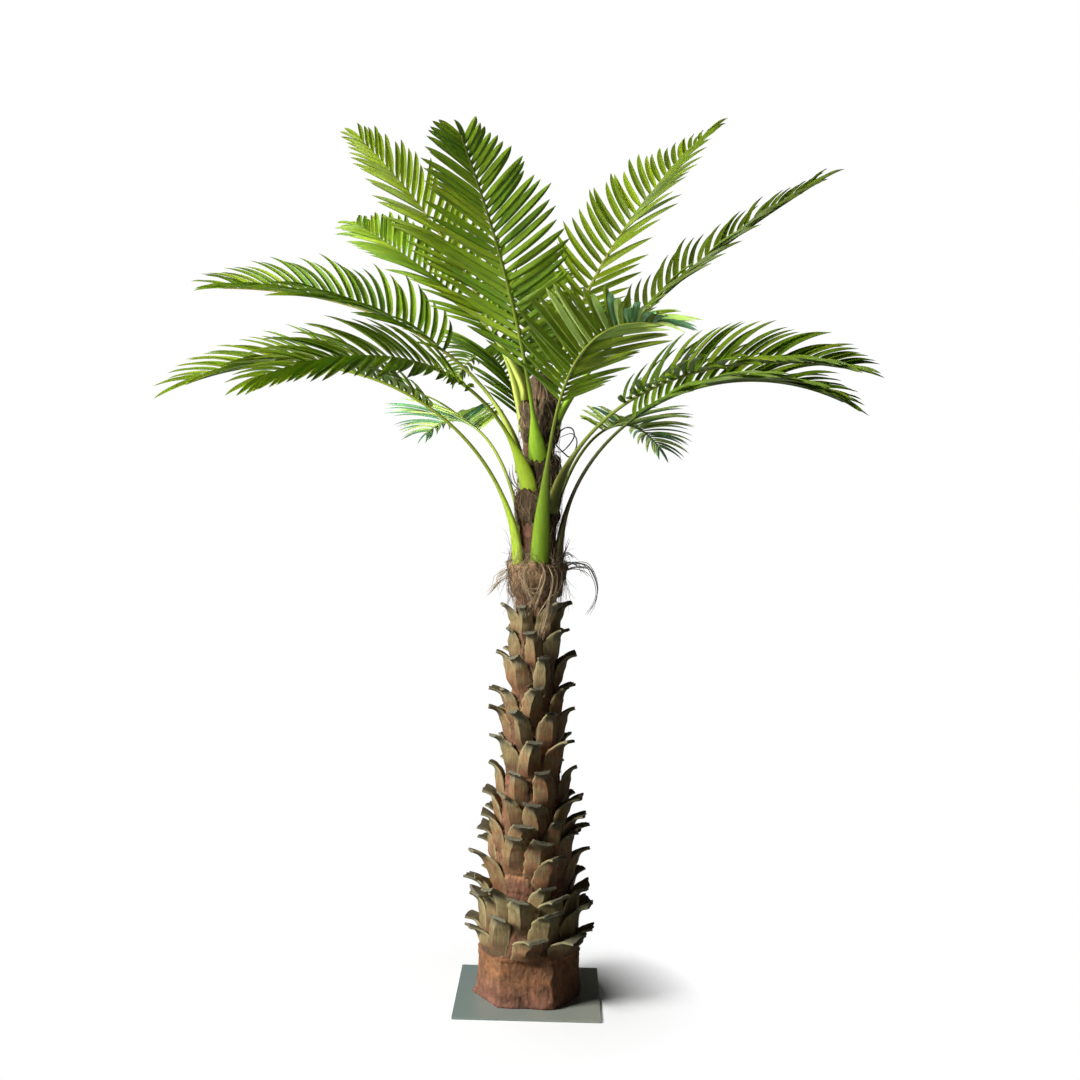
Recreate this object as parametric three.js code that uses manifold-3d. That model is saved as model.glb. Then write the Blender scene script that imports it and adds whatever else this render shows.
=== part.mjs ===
// An artificial date palm on a square steel base plate, in millimetres with +Z up.
// The origin is the middle of the plate's underside, and the front of the tree looks along -Y.
// A tapered trunk with rows of cut leaf stubs carries a slim shaft. Bands of fibre hold the
// feet of sixteen arching fronds against the shaft, and each frond is a rib with two rows of leaflets.

import * as THREE from 'three';
import { mergeVertices } from 'three/addons/utils/BufferGeometryUtils.js';
import Module from 'manifold-3d';

const wasm = await Module();
wasm.setup();

// Clearance between touching pieces
const GAP = 0.3;

// Base plate
const PLATE_SIDE = 450;
const PLATE_THICKNESS = 6;

// Trunk: height of each level and the radius of the bark there
const TRUNK_SIDES = 12;
const TRUNK_LEVELS = [
  { height: 0, radius: 172 },
  { height: 24, radius: 163 },
  { height: 60, radius: 159 },
  { height: 160, radius: 157 },
  { height: 205, radius: 144 },
  { height: 330, radius: 122 },
  { height: 455, radius: 115 },
  { height: 510, radius: 102 },
  { height: 660, radius: 93 },
  { height: 740, radius: 82 },
  { height: 930, radius: 71 },
  { height: 1120, radius: 64 },
  { height: 1185, radius: 54 },
  { height: 1240, radius: 68 },
  { height: 1360, radius: 60 },
  { height: 1560, radius: 56 },
  { height: 1850, radius: 44 },
  { height: 1930, radius: 38 },
  { height: 1950, radius: 24 },
];

// Leaf stubs: the height of the tips of each row and how many stubs it has, and the size of one stub
const DRUM_TOP = 155;
const STUB_ROWS = [
  { tip: 228, count: 7 },
  { tip: 298, count: 7 },
  { tip: 352, count: 7 },
  { tip: 374, count: 7 },
  { tip: 470, count: 5 },
  { tip: 528, count: 7 },
  { tip: 580, count: 7 },
  { tip: 645, count: 7 },
  { tip: 727, count: 6 },
  { tip: 820, count: 6 },
  { tip: 900, count: 6 },
  { tip: 975, count: 6 },
  { tip: 1078, count: 6 },
  { tip: 1164, count: 6 },
  { tip: 1240, count: 6 },
];
const STUBS_IN_FULL_ROW = 7;
const STUB_LENGTH_LOW = 132;
const STUB_LENGTH_HIGH = 124;
const STUB_WIDTH = 54;
const STUB_THICKNESS = 12;
const STUB_REACH = 68;
const STUB_ROOT_SINK = 7;
const STUB_TURN_SPREAD = 10;
const STUB_SIZE_SPREAD = 0.18;
const STUB_STATIONS = [
  { rise: 0, reach: -1, width: 1.7, thickness: 0.9, hug: 1 },
  { rise: 0.56, reach: 0.06, width: 1.5, thickness: 1.6, hug: 1 },
  { rise: 0.85, reach: 0.37, width: 1, thickness: 1, hug: 0.4 },
  { rise: 1, reach: 1, width: 1, thickness: 1, hug: 0 },
];

// Every repeatable value comes from the fraction of a large sine
const WOBBLE_RATE = 12.9898;
const WOBBLE_START = 4.1414;
const WOBBLE_SPREAD = 43758.5453;
const SIZE_SEED_SHIFT = 0.5;

// Fibre bands round the shaft: the inner face follows the bark
const BANDS = [
  { name: 'fibre_collar', bottom: 1262, top: 1368, bottomWall: 7, topWall: 34 },
  { name: 'fibre_wrap_lower', bottom: 1482, top: 1592, bottomWall: 10, topWall: 20 },
  { name: 'fibre_wrap_upper', bottom: 1612, top: 1690, bottomWall: 9, topWall: 16 },
  { name: 'fibre_cup', bottom: 1740, top: 1872, bottomWall: 10, topWall: 22 },
];

// Ribs of the fronds: a broad flat foot that narrows to a slim stem
const RIB_STEPS = 60;
const RIB_FOOT_TAIL = 26;
const RIB_FOOT_LENGTH = 150;
const RIB_FOOT_WIDTH = 48;
const RIB_FOOT_THICKNESS = 26;
const RIB_FOOT_SINK = 3;
const RIB_STEM_WIDTH = 15;
const RIB_TIP_WIDTH = 5;
const RIB_FOOT_STATIONS = 4;
const RIB_BARE_STATIONS = 4;

// Leaflets of the fronds
const LEAFLET_PAIRS = 14;
const LEAFLET_ZONE_END = 0.91;
const LEAFLET_WIDTH = 25;
const LEAFLET_THICKNESS = 5;
const LEAFLET_WIDEST = 0.3;
const LEAFLET_CURVE = 0.42;
const LEAFLET_SAG = 0.22;
const LEAFLET_SAG_BEND = 1.5;
const LEAFLET_LIFT_LOSS = 0.25;
const LEAFLET_NARROWEST = 0.4;
const LEAFLET_STEPS = 10;
const LEAFLET_PROFILE = [[0, 0.5], [0.12, 0.8], [0.35, 1], [0.7, 0.86], [1, 0.5]];
const LEAFLET_LEAN = [[0, 76], [0.5, 56], [1, 20]];
const LEAFLET_CLEARANCE = 0.6;

// Fronds: height of the seat and its turn round the axis, then the arc of the rib in degrees.
// rise is the climb at the foot, droop is what it loses by the tip, and bend shapes that loss.
// bare is the share with no leaflets, roll and twist turn the blade, and vee lifts the leaflets.
const FRONDS = [
  {
    name: 'frond_low_left', seat: 1372, seatTurn: 208, heading: 208, rise: 89, droop: 120,
    bend: 0.8, swing: -6, length: 1410, bare: 0.4, roll: 18, twist: 0, vee: 24, leaf: 240, spread: 1,
  },
  {
    name: 'frond_low_front', seat: 1374, seatTurn: 279, heading: 278, rise: 84, droop: 103,
    bend: 0.85, swing: 26, length: 1390, bare: 0.4, roll: 12, twist: 0, vee: 24, leaf: 250, spread: 1,
  },
  {
    name: 'frond_low_right', seat: 1372, seatTurn: 352, heading: 4, rise: 92, droop: 126,
    bend: 0.92, swing: -18, length: 1290, bare: 0.4, roll: -25, twist: 0, vee: 30, leaf: 220, spread: 0.8,
  },
  {
    name: 'frond_low_back_left', seat: 1372, seatTurn: 130, heading: 119, rise: 82, droop: 110,
    bend: 0.9, swing: 0, length: 1120, bare: 0.5, roll: 0, twist: 0, vee: 26, leaf: 260, spread: 1,
  },
  {
    name: 'frond_low_back_right', seat: 1372, seatTurn: 62, heading: 62, rise: 82, droop: 118,
    bend: 0.9, swing: 0, length: 1200, bare: 0.5, roll: 0, twist: 0, vee: 26, leaf: 260, spread: 1,
  },
  {
    name: 'frond_mid_front_left', seat: 1605, seatTurn: 236, heading: 238, rise: 71, droop: 101,
    bend: 0.68, swing: -34, length: 1230, bare: 0.34, roll: 36, twist: 0, vee: 16, leaf: 215, spread: 0.9,
  },
  {
    name: 'frond_mid_front_right', seat: 1545, seatTurn: 318, heading: -42, rise: 90, droop: 105,
    bend: 0.5, swing: 34, length: 1205, bare: 0.34, roll: -38, twist: 0, vee: 34, leaf: 210, spread: 1,
  },
  {
    name: 'frond_mid_left', seat: 1670, seatTurn: 180, heading: 164, rise: 89, droop: 96,
    bend: 0.55, swing: 37, length: 1290, bare: 0.34, roll: 28, twist: 0, vee: 32, leaf: 250, spread: 1,
  },
  {
    name: 'frond_mid_front', seat: 1690, seatTurn: 266, heading: 257, rise: 70, droop: 63,
    bend: 0.72, swing: 9, length: 1375, bare: 0.21, roll: 0, twist: 0, vee: 16, leaf: 250, spread: 1,
  },
  {
    name: 'frond_mid_back_right', seat: 1650, seatTurn: 80, heading: 78, rise: 76, droop: 98,
    bend: 0.9, swing: 0, length: 1400, bare: 0.22, roll: 0, twist: 0, vee: 30, leaf: 240, spread: 1,
  },
  {
    name: 'frond_mid_back_left', seat: 1560, seatTurn: 112, heading: 108, rise: 76, droop: 104,
    bend: 0.9, swing: 0, length: 1380, bare: 0.22, roll: 0, twist: 0, vee: 30, leaf: 240, spread: 1,
  },
  {
    name: 'frond_top_left', seat: 1895, seatTurn: 200, heading: 144, rise: 84, droop: 66,
    bend: 0.3, swing: -34, length: 1270, bare: 0.17, roll: 26, twist: 0, vee: 30, leaf: 230, spread: 0.9,
  },
  {
    name: 'frond_top_back_left', seat: 1800, seatTurn: 160, heading: 142, rise: 82, droop: 48,
    bend: 0.5, swing: -10, length: 1450, bare: 0.18, roll: 34, twist: 0, vee: 26, leaf: 230, spread: 0.9,
  },
  {
    name: 'frond_top_back_right', seat: 1850, seatTurn: 50, heading: 37, rise: 90, droop: 56,
    bend: 0.52, swing: 13, length: 1365, bare: 0.2, roll: -54, twist: 75, vee: 26, leaf: 230, spread: 1,
  },
  {
    name: 'frond_top_right', seat: 1810, seatTurn: 354, heading: 12, rise: 78, droop: 46,
    bend: 0.3, swing: -6, length: 1255, bare: 0.18, roll: 0, twist: 0, vee: 55, leaf: 190, spread: 0.62,
  },
  {
    name: 'frond_top_back', seat: 1780, seatTurn: 98, heading: 94, rise: 70, droop: 84,
    bend: 0.9, swing: 0, length: 1380, bare: 0.2, roll: 0, twist: 0, vee: 30, leaf: 240, spread: 1,
  },
];

const UP = new THREE.Vector3(0, 0, 1);
const MERGE_DISTANCE = 1e-4;
const TINY = 1e-6;

function radians(degrees) {
  return THREE.MathUtils.degToRad(degrees);
}

// A repeatable value between -1 and 1 for a whole number
function wobble(number) {
  const wave = Math.sin(number * WOBBLE_RATE + WOBBLE_START) * WOBBLE_SPREAD;
  return 2 * (wave - Math.floor(wave)) - 1;
}

// Straight-line interpolation in a list of [place, value] pairs
function between(pairs, place) {
  let last = pairs[0];
  for (const pair of pairs) {
    if (place <= pair[0]) {
      const span = Math.max(pair[0] - last[0], TINY);
      return THREE.MathUtils.lerp(last[1], pair[1], (place - last[0]) / span);
    }
    last = pair;
  }
  return last[1];
}

// A closed geometry becomes a solid for joining and cutting
function toSolid(geometry) {
  const plain = geometry.clone();
  plain.deleteAttribute('normal');
  plain.deleteAttribute('uv');
  const merged = mergeVertices(plain, MERGE_DISTANCE);
  const mesh = new wasm.Mesh({
    numProp: 3,
    vertProperties: new Float32Array(merged.attributes.position.array),
    triVerts: new Uint32Array(merged.index.array),
  });
  return new wasm.Manifold(mesh);
}

// A solid becomes a geometry again
function toGeometry(solid) {
  const mesh = solid.getMesh();
  const geometry = new THREE.BufferGeometry();
  const positions = new Float32Array(mesh.vertProperties);
  geometry.setAttribute('position', new THREE.BufferAttribute(positions, 3));
  geometry.setIndex(new THREE.BufferAttribute(new Uint32Array(mesh.triVerts), 1));
  geometry.computeVertexNormals();
  return geometry;
}

// The faces between two rings of points that run the same way round
function joinRings(index, first, second) {
  first.forEach((here, side) => {
    const turn = (side + 1) % first.length;
    index.push(here, first[turn], second[turn], here, second[turn], second[side]);
  });
}

// The faces between a ring and the point that it closes on
function joinTip(index, ring, tip) {
  ring.forEach((here, side) => index.push(here, ring[(side + 1) % ring.length], tip));
}

// A flat end over a ring, facing the side from which the ring runs counterclockwise
function joinEnd(index, ring) {
  for (let side = 1; side + 1 < ring.length; side += 1) {
    index.push(ring[0], ring[side], ring[side + 1]);
  }
}

function skinSolid(points, index) {
  const geometry = new THREE.BufferGeometry();
  const positions = points.flatMap((point) => [point.x, point.y, point.z]);
  geometry.setAttribute('position', new THREE.Float32BufferAttribute(positions, 3));
  geometry.setIndex(index);
  return toSolid(geometry);
}

// Adds points to a list and gives their places in it
function store(points, ring) {
  const start = points.length;
  points.push(...ring);
  return ring.map((point, side) => start + side);
}

// A shape turned round the Z axis from an outline of [radius, height] points that closes on the axis
function turned(outline) {
  const points = outline.map(([radius, height]) => new THREE.Vector2(radius, height));
  const geometry = new THREE.LatheGeometry(points, TRUNK_SIDES);
  geometry.rotateX(Math.PI / 2);
  return geometry;
}

function barkRadius(height) {
  return between(TRUNK_LEVELS.map((level) => [level.height, level.radius]), height);
}

// The plate is one square of steel with a flat underside
function makePlate() {
  const geometry = new THREE.BoxGeometry(PLATE_SIDE, PLATE_SIDE, PLATE_THICKNESS);
  geometry.translate(0, 0, PLATE_THICKNESS / 2);
  return geometry;
}

// The bark's outline from a flat cut just above the plate, grown outwards by a margin
function trunkOutline(margin) {
  const foot = PLATE_THICKNESS + GAP;
  const outline = [[0, foot]];
  for (const level of TRUNK_LEVELS) {
    outline.push([level.radius + margin, Math.max(level.height, foot)]);
  }
  const top = TRUNK_LEVELS[TRUNK_LEVELS.length - 1].height;
  outline[outline.length - 1][1] = top + margin;
  outline.push([0, top + margin]);
  return outline;
}

// One stub of a cut leaf: its sides bend back round the bark, and it curls outwards to a square cut
function makeStub(tipHeight, length, turn, size) {
  const outward = new THREE.Vector3(Math.cos(turn), Math.sin(turn), 0);
  const across = new THREE.Vector3(-Math.sin(turn), Math.cos(turn), 0);
  const centres = STUB_STATIONS.map((station) => {
    const height = tipHeight - length * (1 - station.rise);
    const away = station.reach < 0 ? -STUB_ROOT_SINK : station.reach * STUB_REACH * size;
    return outward.clone().multiplyScalar(barkRadius(height) + away).addScaledVector(UP, height);
  });
  const rings = centres.map((centre, place) => {
    const before = centres[Math.max(place - 1, 0)];
    const after = centres[Math.min(place + 1, centres.length - 1)];
    const along = after.clone().sub(before).normalize();
    const thick = across.clone().cross(along).normalize();
    const { width, thickness, hug } = STUB_STATIONS[place];
    const half = width * STUB_WIDTH * size / 2;
    const halfWidth = across.clone().multiplyScalar(half);
    const halfThick = thick.clone().multiplyScalar(thickness * STUB_THICKNESS / 2);
    const back = thick.clone().multiplyScalar(hug * half ** 2 / (2 * barkRadius(centre.z)));
    return [
      centre.clone().sub(halfWidth).sub(halfThick).sub(back),
      centre.clone().add(halfThick),
      centre.clone().add(halfWidth).sub(halfThick).sub(back),
    ];
  });
  const points = [];
  const index = [];
  const places = rings.map((ring) => store(points, ring));
  places.slice(1).forEach((ring, before) => joinRings(index, places[before], ring));
  joinEnd(index, [...places[0]].reverse());
  joinEnd(index, places[places.length - 1]);
  return skinSolid(points, index);
}

function makeTrunk() {
  const stubs = [];
  STUB_ROWS.forEach(({ tip, count }, row) => {
    const share = row / (STUB_ROWS.length - 1);
    const wanted = THREE.MathUtils.lerp(STUB_LENGTH_LOW, STUB_LENGTH_HIGH, share);
    const length = Math.min(wanted, tip - DRUM_TOP);
    for (let stub = 0; stub < count; stub += 1) {
      const seed = row * STUBS_IN_FULL_ROW + stub;
      const turn = 360 * (stub + (row % 2) / 2) / count + STUB_TURN_SPREAD * wobble(seed);
      const size = 1 + STUB_SIZE_SPREAD * wobble(seed + SIZE_SEED_SHIFT);
      stubs.push(makeStub(tip, length, radians(turn), size));
    }
  });
  let trunk = toSolid(turned(trunkOutline(0)));
  for (const stub of stubs) {
    trunk = trunk.add(stub);
  }
  return trunk;
}

// A band of fibre: a ring that lies just off the bark and swells outwards
function makeBand(band) {
  const levels = TRUNK_LEVELS.map((level) => level.height);
  const inside = levels.filter((height) => height > band.bottom && height < band.top);
  const inner = [band.top, ...inside.reverse(), band.bottom]
    .map((height) => [barkRadius(height) + GAP, height]);
  const outer = [
    [barkRadius(band.bottom) + band.bottomWall, band.bottom],
    [barkRadius(band.top) + band.topWall, band.top],
  ];
  return toSolid(turned([...outer, ...inner, outer[0]]));
}

function ribClimb(frond, share) {
  return radians(frond.rise - frond.droop * share ** frond.bend);
}

function ribTurn(frond, share) {
  return radians(frond.heading + frond.swing * share ** 2);
}

// Where the rib points at a share of its length
function ribDirection(frond, share) {
  const climb = ribClimb(frond, share);
  const turn = ribTurn(frond, share);
  const level = Math.cos(climb);
  return new THREE.Vector3(level * Math.cos(turn), level * Math.sin(turn), Math.sin(climb));
}

// The rib's centre line, summed in equal steps from the seat
function ribPoints(frond) {
  const turn = radians(frond.seatTurn);
  const reach = barkRadius(frond.seat) + RIB_FOOT_THICKNESS / 2 - RIB_FOOT_SINK;
  const point = new THREE.Vector3(reach * Math.cos(turn), reach * Math.sin(turn), frond.seat);
  const points = [point.clone()];
  for (let step = 0; step < RIB_STEPS; step += 1) {
    point.addScaledVector(ribDirection(frond, (step + 0.5) / RIB_STEPS), frond.length / RIB_STEPS);
    points.push(point.clone());
  }
  return points;
}

function pointOnRib(points, share) {
  const place = Math.min(share * RIB_STEPS, RIB_STEPS - TINY);
  const step = Math.floor(place);
  return points[step].clone().lerp(points[step + 1], place - step);
}

// The blade's frame: along the rib, across it, and out of its upper face.
// The foot lies flat on the shaft, and the rib turns to the blade's roll by the first leaflets.
function bladeFrame(frond, share) {
  const along = ribDirection(frond, share);
  const turn = ribTurn(frond, share);
  const level = new THREE.Vector3(Math.sin(turn), -Math.cos(turn), 0);
  const face = level.clone().cross(along);
  const settled = THREE.MathUtils.smoothstep(share, 0, frond.bare);
  const roll = radians(frond.roll + frond.twist * share) * settled;
  const side = level.clone().multiplyScalar(Math.cos(roll)).addScaledVector(face, Math.sin(roll));
  const upper = face.multiplyScalar(Math.cos(roll)).addScaledVector(level, -Math.sin(roll));
  return { along, side, upper };
}

// Half the width and half the thickness of the rib at a distance from its seat
function ribHalves(frond, distance) {
  const stem = THREE.MathUtils.lerp(RIB_STEM_WIDTH, RIB_TIP_WIDTH, distance / frond.length);
  const foot = 1 - THREE.MathUtils.smoothstep(distance, 0, RIB_FOOT_LENGTH);
  return {
    width: THREE.MathUtils.lerp(stem, RIB_FOOT_WIDTH, foot) / 2,
    thickness: THREE.MathUtils.lerp(stem, RIB_FOOT_THICKNESS, foot) / 2,
  };
}

// The shares of the rib at which its section is set: foot, bare stem, one a leaflet, tip
function ribShares(frond) {
  const footEnd = RIB_FOOT_LENGTH / frond.length;
  const shares = [];
  for (let station = 0; station < RIB_FOOT_STATIONS; station += 1) {
    shares.push(footEnd * station / RIB_FOOT_STATIONS);
  }
  for (let station = 0; station < RIB_BARE_STATIONS; station += 1) {
    shares.push(THREE.MathUtils.lerp(footEnd, frond.bare, station / RIB_BARE_STATIONS));
  }
  for (let pair = 0; pair <= LEAFLET_PAIRS; pair += 1) {
    shares.push(THREE.MathUtils.lerp(frond.bare, LEAFLET_ZONE_END, pair / LEAFLET_PAIRS));
  }
  shares.push(1);
  return shares;
}

// Four corners round the rib: right below, left below, left above, right above
function ribRing(frond, points, share, margin) {
  const { side, upper } = bladeFrame(frond, share);
  const half = ribHalves(frond, share * frond.length);
  const centre = pointOnRib(points, share);
  const corners = [[1, -1], [-1, -1], [-1, 1], [1, 1]];
  return corners.map(([across, out]) => centre.clone()
    .addScaledVector(side, across * (half.width + margin))
    .addScaledVector(upper, out * (half.thickness + margin)));
}

function ribRings(frond, points, margin) {
  const rings = ribShares(frond).map((share) => ribRing(frond, points, share, margin));
  const tail = ribDirection(frond, 0).multiplyScalar(-RIB_FOOT_TAIL - margin);
  return [rings[0].map((corner) => corner.clone().add(tail)), ...rings];
}

// The line of one leaflet: it leans away from the rib, curves forward and sags at its tip
function leafletLine(frond, points, pair, hand) {
  const zoneShare = (pair + 0.5) / LEAFLET_PAIRS;
  const share = THREE.MathUtils.lerp(frond.bare, LEAFLET_ZONE_END, zoneShare);
  const { along, side, upper } = bladeFrame(frond, share);
  const length = frond.leaf * between(LEAFLET_PROFILE, zoneShare);
  const lean = radians(between(LEAFLET_LEAN, zoneShare)) * frond.spread;
  const vee = radians(frond.vee);
  const line = [pointOnRib(points, share)];
  for (let step = 0; step < LEAFLET_STEPS; step += 1) {
    const place = (step + 0.5) / LEAFLET_STEPS;
    const angle = lean * (1 - LEAFLET_CURVE * place);
    const lift = vee * (1 - LEAFLET_LIFT_LOSS * place);
    const direction = along.clone().multiplyScalar(Math.cos(angle));
    direction.addScaledVector(side, hand * Math.sin(angle) * Math.cos(lift));
    direction.addScaledVector(upper, Math.sin(angle) * Math.sin(lift));
    direction.addScaledVector(UP, -LEAFLET_SAG * place ** LEAFLET_SAG_BEND).normalize();
    line.push(line[line.length - 1].clone().addScaledVector(direction, length / LEAFLET_STEPS));
  }
  return { line, along, upper, size: length / frond.leaf };
}

// The four points round a leaflet where it is widest, and its tip.
// The points match the corners of the stretch of rib that the leaflet grows from.
function leafletRing(frond, points, pair, hand, margin) {
  const { line, along, upper, size } = leafletLine(frond, points, pair, hand);
  const middle = line[Math.round(LEAFLET_WIDEST * LEAFLET_STEPS)];
  const tip = line[line.length - 1];
  const direction = tip.clone().sub(middle).normalize();
  const thick = direction.clone().cross(along).normalize();
  thick.multiplyScalar(Math.sign(thick.dot(upper)));
  const wide = along.clone().addScaledVector(direction, -along.dot(direction)).normalize();
  wide.multiplyScalar(LEAFLET_WIDTH * THREE.MathUtils.lerp(LEAFLET_NARROWEST, 1, size) / 2 + margin);
  thick.multiplyScalar(LEAFLET_THICKNESS / 2 + margin);
  const corners = hand < 0
    ? [[-1, -1], [-1, 1], [1, 1], [1, -1]]
    : [[-1, 1], [-1, -1], [1, -1], [1, 1]];
  const ring = corners.map(([front, out]) => middle.clone()
    .addScaledVector(wide, front)
    .addScaledVector(thick, out));
  return { ring, tip: tip.clone().addScaledVector(direction, margin) };
}

// The corners of the rib that a leaflet grows from, by the side of the rib that it is on
function rootCorners(first, second, hand) {
  const near = hand < 0 ? 1 : 3;
  const next = (near + 1) % 4;
  return [first[near], first[next], second[next], second[near]];
}

// Only the foot and rib of a frond, grown outwards by a margin
function makeRib(frond, margin) {
  const points = [];
  const index = [];
  const places = ribRings(frond, ribPoints(frond), margin).map((ring) => store(points, ring));
  places.slice(1).forEach((ring, before) => joinRings(index, places[before], ring));
  joinEnd(index, [...places[0]].reverse());
  joinEnd(index, places[places.length - 1]);
  return skinSolid(points, index);
}

// One leaflet on its own, grown by the clearance, to test what it would touch
function makeTestLeaflet(frond, line, rings, place, pair, hand) {
  const points = [];
  const index = [];
  const root = store(points, rootCorners(rings[place], rings[place + 1], hand));
  const leaflet = leafletRing(frond, line, pair, hand, LEAFLET_CLEARANCE);
  const ring = store(points, leaflet.ring);
  const [tip] = store(points, [leaflet.tip]);
  joinEnd(index, [...root].reverse());
  joinRings(index, root, ring);
  joinTip(index, ring, tip);
  return skinSolid(points, index);
}

function boxesMeet(first, second) {
  return [0, 1, 2].every((axis) => (
    first.min[axis] < second.max[axis] && second.min[axis] < first.max[axis]));
}

function meets(solid, others) {
  const box = solid.boundingBox();
  return others.some((other) => boxesMeet(box, other.boundingBox()) && !solid.intersect(other).isEmpty());
}

// A whole frond in one skin: the rib's sides open out into the leaflets,
// and a leaflet that would touch another piece is left out
function makeFrond(frond, others) {
  const line = ribPoints(frond);
  const rings = ribRings(frond, line, 0);
  const points = [];
  const index = [];
  const places = rings.map((ring) => store(points, ring));
  const zoneStart = places.length - 2 - LEAFLET_PAIRS;
  for (let place = 0; place + 1 < places.length; place += 1) {
    const pair = place - zoneStart;
    for (let side = 0; side < 4; side += 1) {
      const hand = side === 1 ? -1 : 1;
      const next = (side + 1) % 4;
      const [here, ahead] = [places[place], places[place + 1]];
      const root = [here[side], here[next], ahead[next], ahead[side]];
      const leafy = side % 2 === 1 && pair >= 0 && pair < LEAFLET_PAIRS;
      if (leafy && !meets(makeTestLeaflet(frond, line, rings, place, pair, hand), others)) {
        const leaflet = leafletRing(frond, line, pair, hand, 0);
        const ring = store(points, leaflet.ring);
        const [tip] = store(points, [leaflet.tip]);
        joinRings(index, root, ring);
        joinTip(index, ring, tip);
      } else {
        joinEnd(index, root);
      }
    }
  }
  joinEnd(index, [...places[0]].reverse());
  joinEnd(index, places[places.length - 1]);
  return skinSolid(points, index);
}

const trunk = makeTrunk();
const bark = toSolid(turned(trunkOutline(GAP)));
const sleeves = FRONDS.map((frond) => makeRib(frond, GAP));
const bands = BANDS.map((band) => {
  let solid = makeBand(band);
  for (const sleeve of sleeves) {
    solid = solid.subtract(sleeve);
  }
  return solid;
});
const fronds = FRONDS.map((frond) => makeRib(frond, 0));
FRONDS.forEach((frond, place) => {
  const others = [trunk, ...bands, ...fronds.filter((solid, index) => index !== place)];
  fronds[place] = makeFrond(frond, others).subtract(bark);
});

const steel = new THREE.MeshStandardMaterial({ color: 0x7d8584, roughness: 0.42, metalness: 0.85 });
const barkFinish = new THREE.MeshStandardMaterial({ color: 0x7a5535, roughness: 0.9, metalness: 0 });
const fibreFinish = new THREE.MeshStandardMaterial({ color: 0x5b4633, roughness: 0.95, metalness: 0 });
const leafFinish = new THREE.MeshStandardMaterial({ color: 0x4f7d28, roughness: 0.55, metalness: 0 });

const palm = new THREE.Group();

function place(name, geometry, material) {
  const mesh = new THREE.Mesh(geometry, material.clone());
  mesh.name = name;
  palm.add(mesh);
}

place('base_plate', makePlate(), steel);
place('trunk', toGeometry(trunk), barkFinish);
BANDS.forEach((band, index) => place(band.name, toGeometry(bands[index]), fibreFinish));
FRONDS.forEach((frond, index) => place(frond.name, toGeometry(fronds[index]), leafFinish));

export default palm;
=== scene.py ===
# An artificial date palm on a square steel base plate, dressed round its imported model.
# Lengths are in metres and +Z is up. The plate's front edge and the photographed side face -Y.

import bpy
import numpy as np
from mathutils import Matrix, Vector


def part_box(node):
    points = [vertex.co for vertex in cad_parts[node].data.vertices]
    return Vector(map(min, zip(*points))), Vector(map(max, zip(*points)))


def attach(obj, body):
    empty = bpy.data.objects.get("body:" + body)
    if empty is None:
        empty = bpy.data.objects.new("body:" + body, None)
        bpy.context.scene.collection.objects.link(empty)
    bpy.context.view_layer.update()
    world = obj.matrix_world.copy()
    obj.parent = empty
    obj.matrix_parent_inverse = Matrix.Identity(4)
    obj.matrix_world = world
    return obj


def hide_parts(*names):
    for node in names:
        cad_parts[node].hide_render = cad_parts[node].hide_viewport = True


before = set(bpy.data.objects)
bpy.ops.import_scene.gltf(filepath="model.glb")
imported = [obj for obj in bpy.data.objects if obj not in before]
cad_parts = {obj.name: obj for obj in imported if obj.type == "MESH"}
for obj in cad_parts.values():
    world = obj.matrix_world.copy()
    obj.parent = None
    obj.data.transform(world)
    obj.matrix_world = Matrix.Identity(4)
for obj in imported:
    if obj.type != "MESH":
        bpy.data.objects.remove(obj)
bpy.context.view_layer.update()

# Camera: it stood at eye height about four metres in front of the trunk, level with the crown's foot.
# Its place and lens follow from the four corners of the base plate.
CAMERA_PLACE = Vector((0.068, -4.086, 1.557))
CAMERA_YAW, CAMERA_PITCH, CAMERA_ROLL = np.radians([-0.84, -1.7, -1.2])
CAMERA_LENS = 43.5
CAMERA_SENSOR = 36.0

forward = Vector((np.sin(CAMERA_YAW) * np.cos(CAMERA_PITCH), np.cos(CAMERA_YAW) * np.cos(CAMERA_PITCH),
                  np.sin(CAMERA_PITCH)))
level = Vector((np.cos(CAMERA_YAW), -np.sin(CAMERA_YAW), 0))
above = level.cross(forward)
right = level * np.cos(CAMERA_ROLL) - above * np.sin(CAMERA_ROLL)
upward = level * np.sin(CAMERA_ROLL) + above * np.cos(CAMERA_ROLL)
camera_data = bpy.data.cameras.new("photo_camera")
camera_data.lens = CAMERA_LENS
camera_data.sensor_width = CAMERA_SENSOR
camera = bpy.data.objects.new("photo_camera", camera_data)
camera.matrix_world = (Matrix.Translation(CAMERA_PLACE)
                       @ Matrix((right, upward, -forward)).transposed().to_4x4())
bpy.context.scene.collection.objects.link(camera)
bpy.context.scene.camera = camera


# Base plate: one square of sheet steel with eased edges, painted a smooth dull grey.
# The tree's steel core stands on it, so it lies flat under the trunk and carries it.
PLATE_EASE = 0.0008
PLATE_CORNER = 0.004
PLATE_CORNER_POINTS = 6
# The plate's grey sweeps from a blue grey at the left to a lighter olive grey at the right. This is a
# painted reflection, lightened at the right as painted light where the trunk's shadow falls.
PLATE_LEFT_REFLECTION = (0.235, 0.3, 0.28)
PLATE_RIGHT_REFLECTION_AND_LIGHT = (0.37, 0.38, 0.31)
# A stain is a colour, the fineness of its blots, their cover and the share of the colour's strength.
PLATE_WEAR = ((0.3, 0.34, 0.31), 7, 0.4, 0.35)


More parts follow.
